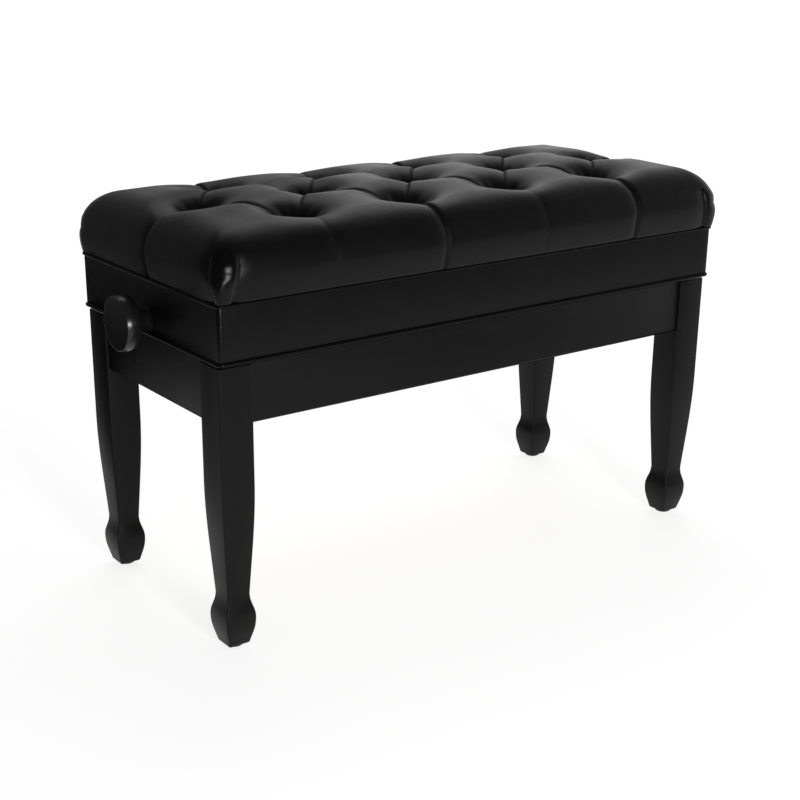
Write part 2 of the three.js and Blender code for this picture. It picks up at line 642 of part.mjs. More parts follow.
// A thick disc with a flat face and a rounded rim, on a neck with a blind bore for the screw.
function knob(side) {
  const bore = SCREW_RADIUS + GAP;
  const neckEnd = COVER_FACE_X + 2 * GAP;
  const outline = new THREE.Path();
  outline.moveTo(bore, neckEnd);
  outline.lineTo(KNOB_NECK_RADIUS, neckEnd);
  outline.lineTo(KNOB_NECK_RADIUS, KNOB_BACK_X - 3);
  outline.quadraticCurveTo(KNOB_NECK_RADIUS, KNOB_BACK_X, KNOB_NECK_RADIUS + 3, KNOB_BACK_X);
  outline.lineTo(KNOB_FACE_RADIUS - 4, KNOB_BACK_X);
  outline.bezierCurveTo(
    KNOB_RADIUS - 1, KNOB_BACK_X, KNOB_RADIUS, KNOB_BACK_X + 4, KNOB_RADIUS, KNOB_BACK_X + 9);
  outline.bezierCurveTo(
    KNOB_RADIUS, KNOB_FACE_X - 2, KNOB_RADIUS - 0.5, KNOB_FACE_X, KNOB_FACE_RADIUS, KNOB_FACE_X);
  outline.lineTo(0, KNOB_FACE_X);
  outline.lineTo(0, KNOB_BACK_X + KNOB_BORE_DEPTH);
  outline.lineTo(bore, KNOB_BACK_X + KNOB_BORE_DEPTH);
  outline.lineTo(bore, neckEnd);
  const points = outline.getPoints(3).map((point) => [point.x, point.y]);
  return alongX(turned(points, 28)).rotateZ(side > 0 ? 0 : Math.PI).translate(0, 0, SCREW_Z);
}

function screwAndKnobs() {
  const group = new THREE.Group();
  group.add(piece('lead_screw', leadScrew(), 'zinc'));
  for (const [name, side] of LEFT_RIGHT) {
    group.add(piece(`thrust_collar_${name}`, thrustCollar(side), 'zinc'));
    group.add(piece(`knob_${name}`, knob(side), 'knob'));
  }
  return group;
}

// ---------------------------------------------------------------- the bench

const bench = new THREE.Group();
bench.add(apronFrame(), fixedLiftParts(), armPairA(), armPairB(), trunnionNut(), seatBox(), screwAndKnobs());

export default bench;
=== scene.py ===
"""Adjustable duet piano bench: the visual model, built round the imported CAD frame.

Black diamond-tufted leather seat on a leather-wrapped box with two welts, satin black apron
frame on spade-foot legs, end knobs and the scissor lift under the seat. Metres throughout;
MM turns the sizes that are easier to read in millimetres into metres.
"""
import json
import math

import bmesh
import bpy
import numpy as np
from mathutils import Matrix, Vector

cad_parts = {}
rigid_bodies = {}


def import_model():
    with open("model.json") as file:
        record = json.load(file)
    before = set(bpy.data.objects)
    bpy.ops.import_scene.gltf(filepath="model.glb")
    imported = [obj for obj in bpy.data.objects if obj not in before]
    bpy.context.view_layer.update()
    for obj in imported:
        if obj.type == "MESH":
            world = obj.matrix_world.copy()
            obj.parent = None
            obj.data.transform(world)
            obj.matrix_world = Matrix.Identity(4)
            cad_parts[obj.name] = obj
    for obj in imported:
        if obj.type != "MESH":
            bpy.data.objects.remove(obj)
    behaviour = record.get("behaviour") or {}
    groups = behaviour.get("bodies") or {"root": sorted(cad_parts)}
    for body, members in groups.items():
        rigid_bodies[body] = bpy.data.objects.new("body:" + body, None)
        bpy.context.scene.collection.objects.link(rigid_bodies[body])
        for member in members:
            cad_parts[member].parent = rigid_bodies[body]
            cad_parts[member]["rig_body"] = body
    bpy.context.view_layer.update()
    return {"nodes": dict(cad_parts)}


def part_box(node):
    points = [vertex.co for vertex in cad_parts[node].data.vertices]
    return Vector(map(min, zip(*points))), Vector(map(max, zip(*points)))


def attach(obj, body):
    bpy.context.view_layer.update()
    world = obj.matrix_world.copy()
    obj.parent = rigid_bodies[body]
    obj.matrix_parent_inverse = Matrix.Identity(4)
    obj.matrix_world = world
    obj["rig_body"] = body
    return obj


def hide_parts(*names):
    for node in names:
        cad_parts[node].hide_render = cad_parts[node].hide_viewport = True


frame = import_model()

MM = 0.001
LEFT_RIGHT = (("left", -1), ("right", 1))
CORNERS = [f"{depth}_{side}" for depth in ("front", "back") for side in ("left", "right")]


# ------------ small mesh tools

ON_AXIS = 1e-7                  # a smaller radius is a point on the axis
ARC_SHARE = 0.49                # the most of a straight side that an arc takes up
MERGE_DISTANCE = 1e-5
FLAT_ANGLE = math.radians(1)    # faces that meet at less than this are joined
ARRIS_ANGLE = math.radians(30)  # edges steeper than this are rounded
BEVEL_SEGMENTS = 2
BEVEL_SHARP_DEG = 40


def new_object(name, verts, faces, material, smooth=True):
    """A mesh object from arrays of points and faces, with normals that point out."""
    mesh = bpy.data.meshes.new(name)
    mesh.from_pydata([tuple(v) for v in verts], [], [tuple(f) for f in faces])
    mesh.validate()
    bm = bmesh.new()
    bm.from_mesh(mesh)
    bmesh.ops.recalc_face_normals(bm, faces=bm.faces)
    bm.to_mesh(mesh)
    bm.free()
    mesh.polygons.foreach_set("use_smooth", [smooth] * len(mesh.polygons))
    obj = bpy.data.objects.new(name, mesh)
    bpy.context.scene.collection.objects.link(obj)
    obj.data.materials.append(material)
    return obj


def place(obj, body, slot, *replaced):
    """Rides the piece on its body and hides the CAD nodes it stands for. `slot`, the finish's
    name, is not used.
    """
    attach(obj, body)
    if replaced:
        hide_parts(*replaced)


def lathe(name, outline, material, axis, origin, segments, sharp_deg=35):
    """A piece turned about Z or X. The outline is a list of (radius, height), from axis to
    axis or closed."""
    angles = np.linspace(0, 2 * math.pi, segments, endpoint=False)
    verts, rows = [], []
    for radius, height in np.array(outline, float):
        if radius < ON_AXIS:
            rows.append([len(verts)] * segments)
            verts.append((0, 0, height))
        else:
            rows.append(list(range(len(verts), len(verts) + segments)))
            verts += [(radius * math.cos(a), radius * math.sin(a), height) for a in angles]
    faces = []
    for low, high in zip(rows, rows[1:]):
        for i in range(segments):
            j = (i + 1) % segments
            corners = list(dict.fromkeys([low[i], low[j], high[j], high[i]]))
            if len(corners) > 2:
                faces.append(corners)
    turn = {"Z": Matrix.Identity(3), "X": Matrix.Rotation(math.pi / 2, 3, "Y")}[axis]
    verts = [turn @ Vector(v) + Vector(origin) for v in verts]
    obj = new_object(name, verts, faces, material)
    sharpen(obj, sharp_deg)
    return obj


def sharpen(obj, degrees):
    """Keeps edges steeper than this angle crisp while the rest is smooth."""
    mesh = obj.data
    bm = bmesh.new()
    bm.from_mesh(mesh)
    limit = math.radians(degrees)
    for edge in bm.edges:
        edge.smooth = not (edge.is_manifold and edge.calc_face_angle(0) > limit)
    bm.to_mesh(mesh)
    bm.free()


def rounded(points, radius, steps=5):
    """An outline with each inner corner replaced by an arc of about this radius."""
    out = [points[0]]
    for before, corner, after in zip(points, points[1:], points[2:]):
        before, corner, after = (np.array(p, float) for p in (before, corner, after))
        back, ahead = before - corner, after - corner
        reach = min(radius, np.linalg.norm(back) * ARC_SHARE, np.linalg.norm(ahead) * ARC_SHARE)
        start = corner + back / np.linalg.norm(back) * reach
        end = corner + ahead / np.linalg.norm(ahead) * reach
        for t in np.linspace(0, 1, steps):
            out.append(tuple((1 - t) ** 2 * start + 2 * t * (1 - t) * corner + t ** 2 * end))
    out.append(points[-1])
    return out


def bevel_mesh(obj, width):
    """Rounds the arrises of a piece with a small bevel, applied to its mesh."""
    bm = bmesh.new()
    bm.from_mesh(obj.data)
    bmesh.ops.remove_doubles(bm, verts=bm.verts, dist=MERGE_DISTANCE)
    bmesh.ops.dissolve_limit(bm, angle_limit=FLAT_ANGLE, verts=bm.verts, edges=bm.edges)
    arrises = [e for e in bm.edges if e.is_manifold and e.calc_face_angle(0) > ARRIS_ANGLE]
    bmesh.ops.bevel(bm, geom=arrises, offset=width, segments=BEVEL_SEGMENTS, affect="EDGES",
                    profile=0.5, clamp_overlap=True)
    bm.to_mesh(obj.data)
    bm.free()
    obj.data.polygons.foreach_set("use_smooth", [True] * len(obj.data.polygons))
    sharpen(obj, BEVEL_SHARP_DEG)


def from_cad(node, slot, material, bevel):
    """A finished copy of a CAD node: corners merged, flat faces joined, arrises rounded."""
    source = frame["nodes"][node]
    verts = [v.co.copy() for v in source.data.vertices]
    faces = [tuple(p.vertices) for p in source.data.polygons]
    obj = new_object(node + "_finished", verts, faces, material)
    bevel_mesh(obj, bevel)
    place(obj, source["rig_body"], slot, node)


# ------------ materials

FOLD_LINE = "fold_shade_line"         # mesh attribute: 1 where a fold tucks under, 0 elsewhere; painted shade darkens the leather there
LEATHER_TONES = ((0.0014, 0.0013, 0.0012), (0.0025, 0.0023, 0.0022))
# painted shade: the leather's colour along a fold's tuck, darkened to stand for its shadow
PAINTED_FOLD_SHADE = (0.0010, 0.0010, 0.0010)
FOLD_ROUGHNESS = 0.35           # added in a fold
STRETCH_FADE = 4 * MM
STRETCH_TOP = (0.468, 0.480)    # stretched leather ends between these heights
STRETCH_ALONG = (-0.3, 0.3)     # its shine falls off between these places along the bench
STRETCH_RIGHT = 0.2             # to this share
STRETCH_SMOOTHNESS = 0.18       # roughness taken off where the leather is stretched
LACQUER_TONES = ((0.0032, 0.0030, 0.0029), (0.0058, 0.0055, 0.0053))
BEECH_TONES = ((0.32, 0.20, 0.105), (0.46, 0.31, 0.18))
PLYWOOD_TONES = ((0.33, 0.20, 0.10), (0.62, 0.44, 0.26))
METAL_STREAKS = (60.0, 600.0, 600.0)


class Nodes:
    """A short way to write a node material."""

    def __init__(self, name):
        self.material = bpy.data.materials.new(name)
        self.material.use_nodes = True
        self.tree = self.material.node_tree
        self.shader = self.tree.nodes["Principled BSDF"]

    def add(self, kind, **settings):
        node = self.tree.nodes.new(kind)
        inputs = settings.pop("inputs", {})
        for key, value in settings.items():
            setattr(node, key, value)
        for key, value in inputs.items():
            self.set(node.inputs[key], value)
        return node

    def set(self, socket, value):
        if isinstance(value, bpy.types.NodeSocket):
            self.tree.links.new(value, socket)
        else:
            socket.default_value = value

    def coords(self, scale=(1, 1, 1)):
        position = self.add("ShaderNodeTexCoord")
        mapping = self.add("ShaderNodeMapping", inputs={
            "Vector": position.outputs["Object"], "Scale": scale})
        return mapping.outputs["Vector"]

    def noise(self, vector, scale, detail=3.0, roughness=0.5, distortion=0.0):
        node = self.add("ShaderNodeTexNoise", inputs={
            "Vector": vector, "Scale": scale, "Detail": detail,
            "Roughness": roughness, "Distortion": distortion})
        return node.outputs["Fac"]

    def cells(self, vector, scale):
        node = self.add("ShaderNodeTexVoronoi", feature="DISTANCE_TO_EDGE", inputs={
            "Vector": vector, "Scale": scale})
        return node.outputs["Distance"]

    def ramp(self, factor, low, high, from_low=0.0, from_high=1.0):
        node = self.add("ShaderNodeMapRange", inputs={
            "Value": factor, "From Min": from_low, "From Max": from_high,
            "To Min": low, "To Max": high})
        return node.outputs["Result"]

    def colour(self, factor, low, high):
        node = self.add("ShaderNodeMix", data_type="RGBA")
        self.set(node.inputs["Factor"], factor)
        for key, value in (("A", low), ("B", high)):
            is_socket = isinstance(value, bpy.types.NodeSocket)
            self.set(node.inputs[key], value if is_socket else (*value, 1))
        return node.outputs["Result"]

    def math(self, operation, a, b):
        node = self.add("ShaderNodeMath", operation=operation)
        self.set(node.inputs[0], a)
        self.set(node.inputs[1], b)
        return node.outputs[0]

    def bump(self, height, strength, distance, normal=None):
        node = self.add("ShaderNodeBump", inputs={
            "Height": height, "Strength": strength, "Distance": distance})
        if normal is not None:
            self.set(node.inputs["Normal"], normal)
        return node.outputs["Normal"]

    def finish(self, base, roughness, normal=None, **constants):
        self.set(self.shader.inputs["Base Color"], base)
        self.set(self.shader.inputs["Roughness"], roughness)
        if normal is not None:
            self.set(self.shader.inputs["Normal"], normal)
        for key, value in constants.items():
            self.shader.inputs[key.replace("_", " ")].default_value = value
        return self.material


def leather_material(name, corner, specular=0.155):
    """Black upholstery leather: fine pebbled grain, pores, soft creases and faint mottling, with
    painted shade along the fold lines. It is pulled smooth past the x and y in `corner`, most of
    all at the left end."""
    n = Nodes(name)
    place_at = n.add("ShaderNodeSeparateXYZ", inputs={0: n.coords()}).outputs
    smooth = n.math("SUBTRACT", 1.0, n.ramp(place_at["Z"], 0.0, 1.0, *STRETCH_TOP))
    smooth = n.math("MULTIPLY", smooth, n.ramp(place_at["X"], 1.0, STRETCH_RIGHT, *STRETCH_ALONG))
    for axis, start in zip("XY", corner):
        distance = n.math("ABSOLUTE", place_at[axis], 0.0)
        past = n.ramp(distance, 0.0, 1.0, start, start + STRETCH_FADE)
        smooth = n.math("MULTIPLY", smooth, past)
    pebble = n.ramp(n.cells(n.coords(), scale=850.0), 0.0, 1.0, from_low=0.0, from_high=0.35)
    pores = n.noise(n.coords(), scale=2400.0, detail=2.0)
    creases = n.noise(n.coords(), scale=70.0, detail=5.0, roughness=0.62, distortion=0.8)
    mottle = n.noise(n.coords(), scale=16.0, detail=4.0, roughness=0.6)
    height = n.math("ADD", pebble, n.math("MULTIPLY", pores, 0.5))
    soft = n.bump(creases, strength=0.22, distance=1.2 * MM)
    normal = n.bump(height, 0.14, 0.35 * MM, soft)
    # painted shade: along the fold lines the base colour is darkened to stand for the tuck's
    # shadow, and the leather is rougher there
    fold = n.add("ShaderNodeAttribute", attribute_name=FOLD_LINE).outputs["Fac"]
    base = n.colour(fold, n.colour(mottle, *LEATHER_TONES), PAINTED_FOLD_SHADE)
    cloud = n.math("ADD", mottle, n.math("MULTIPLY", pores, 0.3))
    roughness = n.ramp(cloud, low=0.30, high=0.43, from_low=0.3, from_high=0.9)
    roughness = n.math("ADD", roughness, n.math("MULTIPLY", fold, FOLD_ROUGHNESS))
    roughness = n.math("MINIMUM", roughness, 0.9)
    roughness = n.math("SUBTRACT", roughness, n.math("MULTIPLY", smooth, STRETCH_SMOOTHNESS))
    return n.finish(base, roughness, normal, Specular_IOR_Level=specular)


def grain_scale(along, across, lengthwise):
    """Texture scales for a grain that runs along one axis."""
    scale = [across] * 3
    scale["XYZ".index(along)] = lengthwise
    return scale


def lacquer_material(name, along):
    """Satin black lacquer on hardwood: the grain runs along one axis and shows faintly."""
    n = Nodes(name)
    stretch = grain_scale(along, across=150.0, lengthwise=5.0)
    grain = n.noise(n.coords(stretch), scale=1.0, detail=6.0, roughness=0.6, distortion=0.4)
    fine = n.noise(n.coords([5 * size for size in stretch]), scale=1.0, detail=2.0)
    cloud = n.noise(n.coords(), scale=9.0)
    base = n.colour(grain, *LACQUER_TONES)
    sheen = n.math("ADD", n.math("MULTIPLY", grain, 0.5), cloud)
    roughness = n.ramp(sheen, low=0.34, high=0.50, from_low=0.4, from_high=1.1)
    height = n.math("ADD", grain, n.math("MULTIPLY", fine, 0.35))
    normal = n.bump(height, strength=0.09, distance=0.4 * MM)
    return n.finish(base, roughness, normal, Specular_IOR_Level=0.122)


def wood_material(name, along):
    """Unfinished beech: the grain and its pores run along one axis."""
    n = Nodes(name)
    stretch = grain_scale(along, across=90.0, lengthwise=4.0)
    grain = n.noise(n.coords(stretch), scale=1.0, detail=7.0, roughness=0.62, distortion=1.2)
    pores = n.noise(n.coords([4 * size for size in stretch]), scale=1.0, detail=2.0)
    base = n.colour(n.ramp(grain, 0.0, 1.0, from_low=0.3, from_high=0.7), *BEECH_TONES)
    height = n.math("ADD", grain, n.math("MULTIPLY", pores, 0.4))
    normal = n.bump(height, strength=0.3, distance=0.5 * MM)
    return n.finish(base, n.ramp(grain, 0.55, 0.75), normal)


def plywood_material():
    """Veneered faces, with the plies showing as thin bands up the boards' thickness."""
    n = Nodes("plywood")
    grain = n.noise(n.coords((4.0, 80.0, 80.0)), scale=1.0, detail=6.0, roughness=0.6,
                    distortion=1.0)
    plies = n.add("ShaderNodeTexWave", wave_type="BANDS", bands_direction="Z", inputs={
        "Vector": n.coords(), "Scale": 65.0, "Distortion": 0.6, "Detail": 1.0}).outputs["Fac"]
    tone = n.math("ADD", n.math("MULTIPLY", grain, 0.75), n.math("MULTIPLY", plies, 0.25))
    base = n.colour(n.ramp(tone, 0.0, 1.0, from_low=0.3, from_high=0.75), *PLYWOOD_TONES)
    normal = n.bump(grain, strength=0.25, distance=0.5 * MM)
    return n.finish(base, n.ramp(grain, 0.6, 0.8), normal)


def metal_material(name, low, high, roughness, metallic=1.0):
    """Metal with fine drawn streaks and a little cloudiness."""
    n = Nodes(name)
    streaks = n.noise(n.coords(METAL_STREAKS), scale=1.0, detail=4.0, roughness=0.6)
    cloud = n.noise(n.coords(), scale=30.0)
    wear = n.math("ADD", streaks, cloud)
    spread = n.ramp(wear, roughness - 0.07, roughness + 0.10, from_low=0.6, from_high=1.4)
    normal = n.bump(streaks, strength=0.08, distance=0.2 * MM)
    return n.finish(n.colour(cloud, low, high), spread, normal, Metallic=metallic)


def plastic_material(name, low, high, roughness, specular=0.5):
    """Moulded plastic or rubber with a very fine texture."""
    n = Nodes(name)
    texture = n.noise(n.coords(), scale=1200.0, detail=2.0)
    cloud = n.noise(n.coords(), scale=25.0)
    spread = n.ramp(cloud, roughness - 0.04, roughness + 0.06, from_low=0.3, from_high=0.7)
    normal = n.bump(texture, strength=0.05, distance=0.2 * MM)
    return n.finish(n.colour(cloud, low, high), spread, normal, Specular_IOR_Level=specular)


LEATHER = leather_material("leather_cushion", (0.357, 0.155))
SKIRT_LEATHER = leather_material("leather_skirt", (0.3715, 0.159))
PIPING = leather_material("leather_piping", (0.3715, 0.159), specular=0.09)
FRAME_X = lacquer_material("lacquer_long_grain", "X")
FRAME_Y = lacquer_material("lacquer_cross_grain", "Y")
FRAME_Z = lacquer_material("lacquer_upright_grain", "Z")
KNOB = plastic_material("knob_black", (0.0075, 0.0075, 0.0075), (0.010, 0.010, 0.010),
                        roughness=0.25, specular=0.36)
BEECH_Y = wood_material("beech", "Y")
BEECH_X = wood_material("beech_long", "X")
PLYWOOD = plywood_material()
BLACK_STEEL = metal_material("black_steel", (0.020, 0.020, 0.022), (0.034, 0.034, 0.036),
                             roughness=0.42, metallic=0.3)
ZINC = metal_material("zinc_steel", (0.52, 0.54, 0.57), (0.66, 0.68, 0.70), roughness=0.32)
BRASS = metal_material("brass", (0.66, 0.46, 0.18), (0.78, 0.58, 0.27), roughness=0.30)
NYLON = plastic_material("nylon_black", (0.007, 0.007, 0.007), (0.010, 0.010, 0.010),
                         roughness=0.60)
BUMPER = plastic_material("bumper_rubber", (0.36, 0.36, 0.35), (0.46, 0.46, 0.44),
                          roughness=0.45)


# ------------ cushion

TUFT_PITCH = 154 * MM
TUFT_ROW_Y = 91 * MM
END_TUFT_X = 2 * TUFT_PITCH
CELLS_PER_HALF_PITCH = 44       # mesh cells between neighbouring tufts, along each axis
CUSHION_HALF = (385.5 * MM, 175 * MM)
EDGE_REACH = 50 * MM            # the shoulder's size along the top
EDGE_DROP = 45 * MM             # the shoulder's height
WIDEST_ABOVE_FOOT = 31 * MM
FOOT_INSET = 5.5 * MM
FOOT_CURVE = 1.5                # how late the sides pull in on their way down
PLAN_POWER = 4.0                # how square the corners are at the shoulder
PLAN_POWER_GAIN = 9.0           # how much squarer they are at the foot
PLAN_POWER_CURVE = 1.1
CROWN = 9 * MM
CROWN_LEVEL = 0.8               # the crown keeps its height over this share of the length
TOP_TOLERANCE = 1e-6

TUFT_DEPTH = 30 * MM
TUFT_SPREAD = 19.5 * MM         # how fast the hollow round a button opens out
TUFT_POWER = 1.3
TUFT_END = 62 * MM              # the hollow has no effect past here
TUFT_STRETCH = 1.12             # the hollows are a little longer along the bench
GATHERS = ((11, 1.0, 1.7), (7, 0.6, 2.9))  # wrinkles round a button, share, turn per button
GATHER_DEPTH = 0.7 * MM
GATHER_RING = 9 * MM            # the gathers are deepest this far past the button
BUTTON_RADIUS = 11 * MM
BUTTON_LIFT = 0.4 * MM
BUTTON_DOME = ((0, 2.6), (3, 2.5), (6, 1.9), (8.5, 0.9), (10.2, -0.8), (10.8, -3), (0, -3))

PLEAT_DEPTH = 3.4 * MM
CREASE_WIDTHS = (8 * MM, 2.6 * MM)  # where the leather slopes in, and where it tucks under
VALLEY_DEPTH = 2 * MM
VALLEY_WIDTH = 20 * MM
FOLD_LINE_AT = 1.2 * MM         # the painted shade line's place on the side that tucks under
FOLD_LINE_WIDTH = 2.2 * MM

# The straight pleats over the edges and down the sides: (place in half pitches, strength).
EDGE_PLEATS_FRONT = ((-3, 0.25), (-1, 1.0), (1, 0.2), (3, 1.0))
EDGE_PLEATS_BACK = ((-3, 0.8), (-1, 0.5), (1, 1.0), (3, 0.5))
EDGE_PLEATS_END = ((0, 1.0),)
# Their depth, and their width on the sloping side, by the distance past the tufts' row.
EDGE_PLEAT_DEPTHS = np.array([(0, 7), (40, 5.5), (80, 3.4), (120, 2.4), (170, 1.8)]).T * MM
EDGE_PLEAT_WIDTHS = np.array([(0, 13), (60, 9), (120, 5)]).T * MM
EDGE_PLEAT_TUCK = 1.8 * MM
SOFT_PLEAT = 0.6                # a pleat weaker than this has a soft tuck
SOFT_PLEAT_TUCK = 6 * MM
PLEAT_DRIFTS_OVER = (10 * MM, 80 * MM)
END_PLEAT_DRIFT = 13 * MM

FOLD_TOP = 474 * MM             # the corner folds fade out at this height
FOLD_FADE = 0.32                # over this share of their own height
FOLD_DEPTH = 3.2 * MM
FOLD_SLOPE = 9 * MM
FOLD_TUCK = 2.5 * MM
LONG_FOLD = (25 * MM, 10 * MM)  # distance from the corner at the foot, and added at the top
END_FOLD = (17 * MM, 5 * MM)
PANEL_BULGE = 1.5 * MM          # of the panel between a corner's folds
PANEL_EDGE = 5 * MM
PANEL_SWELL = ((0.15, 0.7), (0.2, 1.0))  # shares of the height, and of the bulge there


def tuft_points():
    """The buttons' places: rows of four, five and four."""
    half = TUFT_PITCH / 2
    outer = [(x * half, y * TUFT_ROW_Y) for y in (-1, 1) for x in (-3, -1, 1, 3)]
    return outer + [(x * half, 0.0) for x in (-4, -2, 0, 2, 4)]


def pleats():
    """The diagonal pleats between neighbouring tufts, as (start, end)."""
    half = TUFT_PITCH / 2
    lines = []
    for row in (-1, 1):
        for x in (-3, -1, 1, 3):
            for step in (-1, 1):
                lines.append(((x * half, row * TUFT_ROW_Y), ((x + step) * half, 0.0)))
    return lines


def cushion_grid():
    """The places of the mesh lines on a box, along x, along y and up its sides. They are laid
    so that the tufts and the diagonal pleats fall on them."""
    lo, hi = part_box("cushion")
    dx = TUFT_PITCH / 2 / CELLS_PER_HALF_PITCH
    dy = TUFT_ROW_Y / CELLS_PER_HALF_PITCH
    nx, ny = int(hi.x / dx), int(hi.y / dy)
    xs = np.arange(-nx, nx + 1) * dx
    ys = np.arange(-ny, ny + 1) * dy
    foot = lo.z
    widest = foot + WIDEST_ABOVE_FOOT
    top = widest + EDGE_DROP
    nz = int(round((top - foot) / dx))
    zs = np.linspace(foot, top, nz + 1)
    return xs, ys, zs


def cushion_points(xs, ys, zs):
    """The box's vertices, the top first and then rings down the sides, and its faces. The
    last face closes the bottom."""
    top = np.array([(x, y, zs[-1]) for y in ys for x in xs])
    nx, ny = len(xs), len(ys)
    index = np.arange(nx * ny).reshape(ny, nx)
    ring = list(index[0, :]) + list(index[1:, -1])
    ring += list(index[-1, -2::-1]) + list(index[-2:0:-1, 0])
    ring_points = top[ring][:, :2]
    count = len(ring)
    points = [top]
    faces = []
    for j in range(ny - 1):
        for i in range(nx - 1):
            faces.append((index[j, i], index[j, i + 1], index[j + 1, i + 1], index[j + 1, i]))
    previous = np.array(ring)
    total = len(top)
    for z in zs[-2::-1]:
        points.append(np.column_stack([ring_points, np.full(count, z)]))
        current = np.arange(total, total + count)
        total += count
        nxt = np.roll(np.arange(count), -1)
        faces += [(previous[i], current[i], current[k], previous[k]) for i, k in enumerate(nxt)]
        previous = current
    faces.append(tuple(previous))
    return np.concatenate(points), faces


def shape_cushion(box, half_x, half_y, foot, widest):
    """Turns box points into the stuffed form: round shoulders, sides that pull in at the
    foot, and corners that are squarer lower down."""
    flat = np.array([half_x, half_y]) - EDGE_REACH
    sign = np.sign(box[:, :2])
    reach = np.maximum(np.abs(box[:, :2]) - flat, 0) / EDGE_REACH
    up = np.clip((box[:, 2] - widest) / EDGE_DROP, 0, 1)
    low = np.clip((widest - box[:, 2]) / (widest - foot), 0, 1)
    power = PLAN_POWER + PLAN_POWER_GAIN * low ** PLAN_POWER_CURVE
    plan = (reach[:, 0] ** power + reach[:, 1] ** power) ** (1 / power)
    size = np.maximum(np.sqrt(plan ** 2 + up ** 2), 1e-9)
    inner = np.minimum(np.abs(box[:, :2]), flat)
    pull = FOOT_INSET * low ** FOOT_CURVE
    out = np.empty_like(box)
    for k, full in enumerate(CUSHION_HALF):
        bulge = full - flat[k]
        out[:, k] = sign[:, k] * (inner[:, k] + (bulge - pull) * reach[:, k] / size)
    out[:, 2] = np.where(up > 0, widest + EDGE_DROP * up / size, box[:, 2])
    return out


def segment_distance(px, py, start, end):
    """Signed distance to a segment."""
    (ax, ay), (bx, by) = start, end
    dx, dy = bx - ax, by - ay
    length2 = dx * dx + dy * dy
    t = np.clip(((px - ax) * dx + (py - ay) * dy) / length2, 0, 1)
    ox, oy = px - (ax + t * dx), py - (ay + t * dy)
    side = np.sign((px - ax) * dy - (py - ay) * dx)
    return np.hypot(ox, oy) * np.where(side == 0, 1, side)


def crease(distance, wide, tight):
    """A fold's section: leather slopes in over `wide` on one side and turns under over
    `tight` on the other. 1 at the crease, 0 far from it."""
    width = np.where(distance > 0, tight, wide)
    return np.exp(-np.abs(distance) / width)


def vertex_normals(verts, faces):
    """Area-weighted normals of the quads' vertices."""
    quads = np.array([f for f in faces if len(f) == 4])
    a, b, c, d = (verts[quads[:, k]] for k in range(4))
    face_normals = np.cross(c - a, d - b)
    normals = np.zeros_like(verts)
    for k in range(4):
        np.add.at(normals, quads[:, k], face_normals)
    return normals / np.maximum(np.linalg.norm(normals, axis=1), 1e-12)[:, None]


def fold_shade_line(distance):
    """Where shade is painted along a fold: 1 on the wall where it tucks under, 0 away from it."""
    return np.exp(-((distance - FOLD_LINE_AT) / FOLD_LINE_WIDTH) ** 2)


def tuft_sink(x, y):
    """How far the top sinks round the buttons, with fine gathers near each one."""
    sink = np.zeros(len(x))
    for k, (tx, ty) in enumerate(tuft_points()):
        dx, dy = x - tx, y - ty
        angle = np.arctan2(dy, dx)
        past = np.maximum(np.hypot(dx / TUFT_STRETCH, dy) - BUTTON_RADIUS, 0)
        fall = np.exp(-(past / TUFT_SPREAD) ** TUFT_POWER)
        fall *= np.clip(1 - (past / TUFT_END) ** 2, 0, 1)
        gathers = sum(share * np.cos(count * angle + turn * k) for count, share, turn in GATHERS)
        ring = np.exp(-((past - GATHER_RING) / GATHER_RING) ** 2)
        sink = np.maximum(sink, TUFT_DEPTH * fall + GATHER_DEPTH * gathers * ring)
    return sink


def pleat_sink(x, y):
    """The folds between neighbouring tufts, each a broad valley with a fine crease in it.
    Returns how far they sink and where shade is painted along their line."""
    sink, shade_line_mark = np.zeros(len(x)), np.zeros(len(x))
    for start, end in pleats():
        dist = segment_distance(x, y, start, end)
        valley = VALLEY_DEPTH * np.exp(-(dist / VALLEY_WIDTH) ** 2)
        sink = np.maximum(sink, valley + PLEAT_DEPTH * crease(dist, *CREASE_WIDTHS))
        shade_line_mark = np.maximum(shade_line_mark, fold_shade_line(dist))
    return sink, shade_line_mark


def edge_pleat_sink(along, travel, strengths, drift=0.0):
    """The straight folds from the outer tufts over the shoulder and down the side. `along`
    is the place along the edge, `travel` how far past the tufts' row a point is, and `drift`
    how far the fold wanders along the edge on its way over. Returns what pleat_sink does."""
    sink, shade_line_mark = np.zeros(len(along)), np.zeros(len(along))
    wander = np.interp(travel, PLEAT_DRIFTS_OVER, (0, drift))
    depth = np.interp(travel, *EDGE_PLEAT_DEPTHS)
    wide = np.interp(travel, *EDGE_PLEAT_WIDTHS)
    for step, strength in strengths:
        dist = along - step * TUFT_PITCH / 2 - wander
        tight = SOFT_PLEAT_TUCK if strength < SOFT_PLEAT else EDGE_PLEAT_TUCK
        sink = np.maximum(sink, strength * depth * crease(dist, wide, tight))
        shade_line_mark = np.maximum(shade_line_mark, strength * fold_shade_line(dist))
    return np.where(travel > 0, (sink, shade_line_mark), 0)


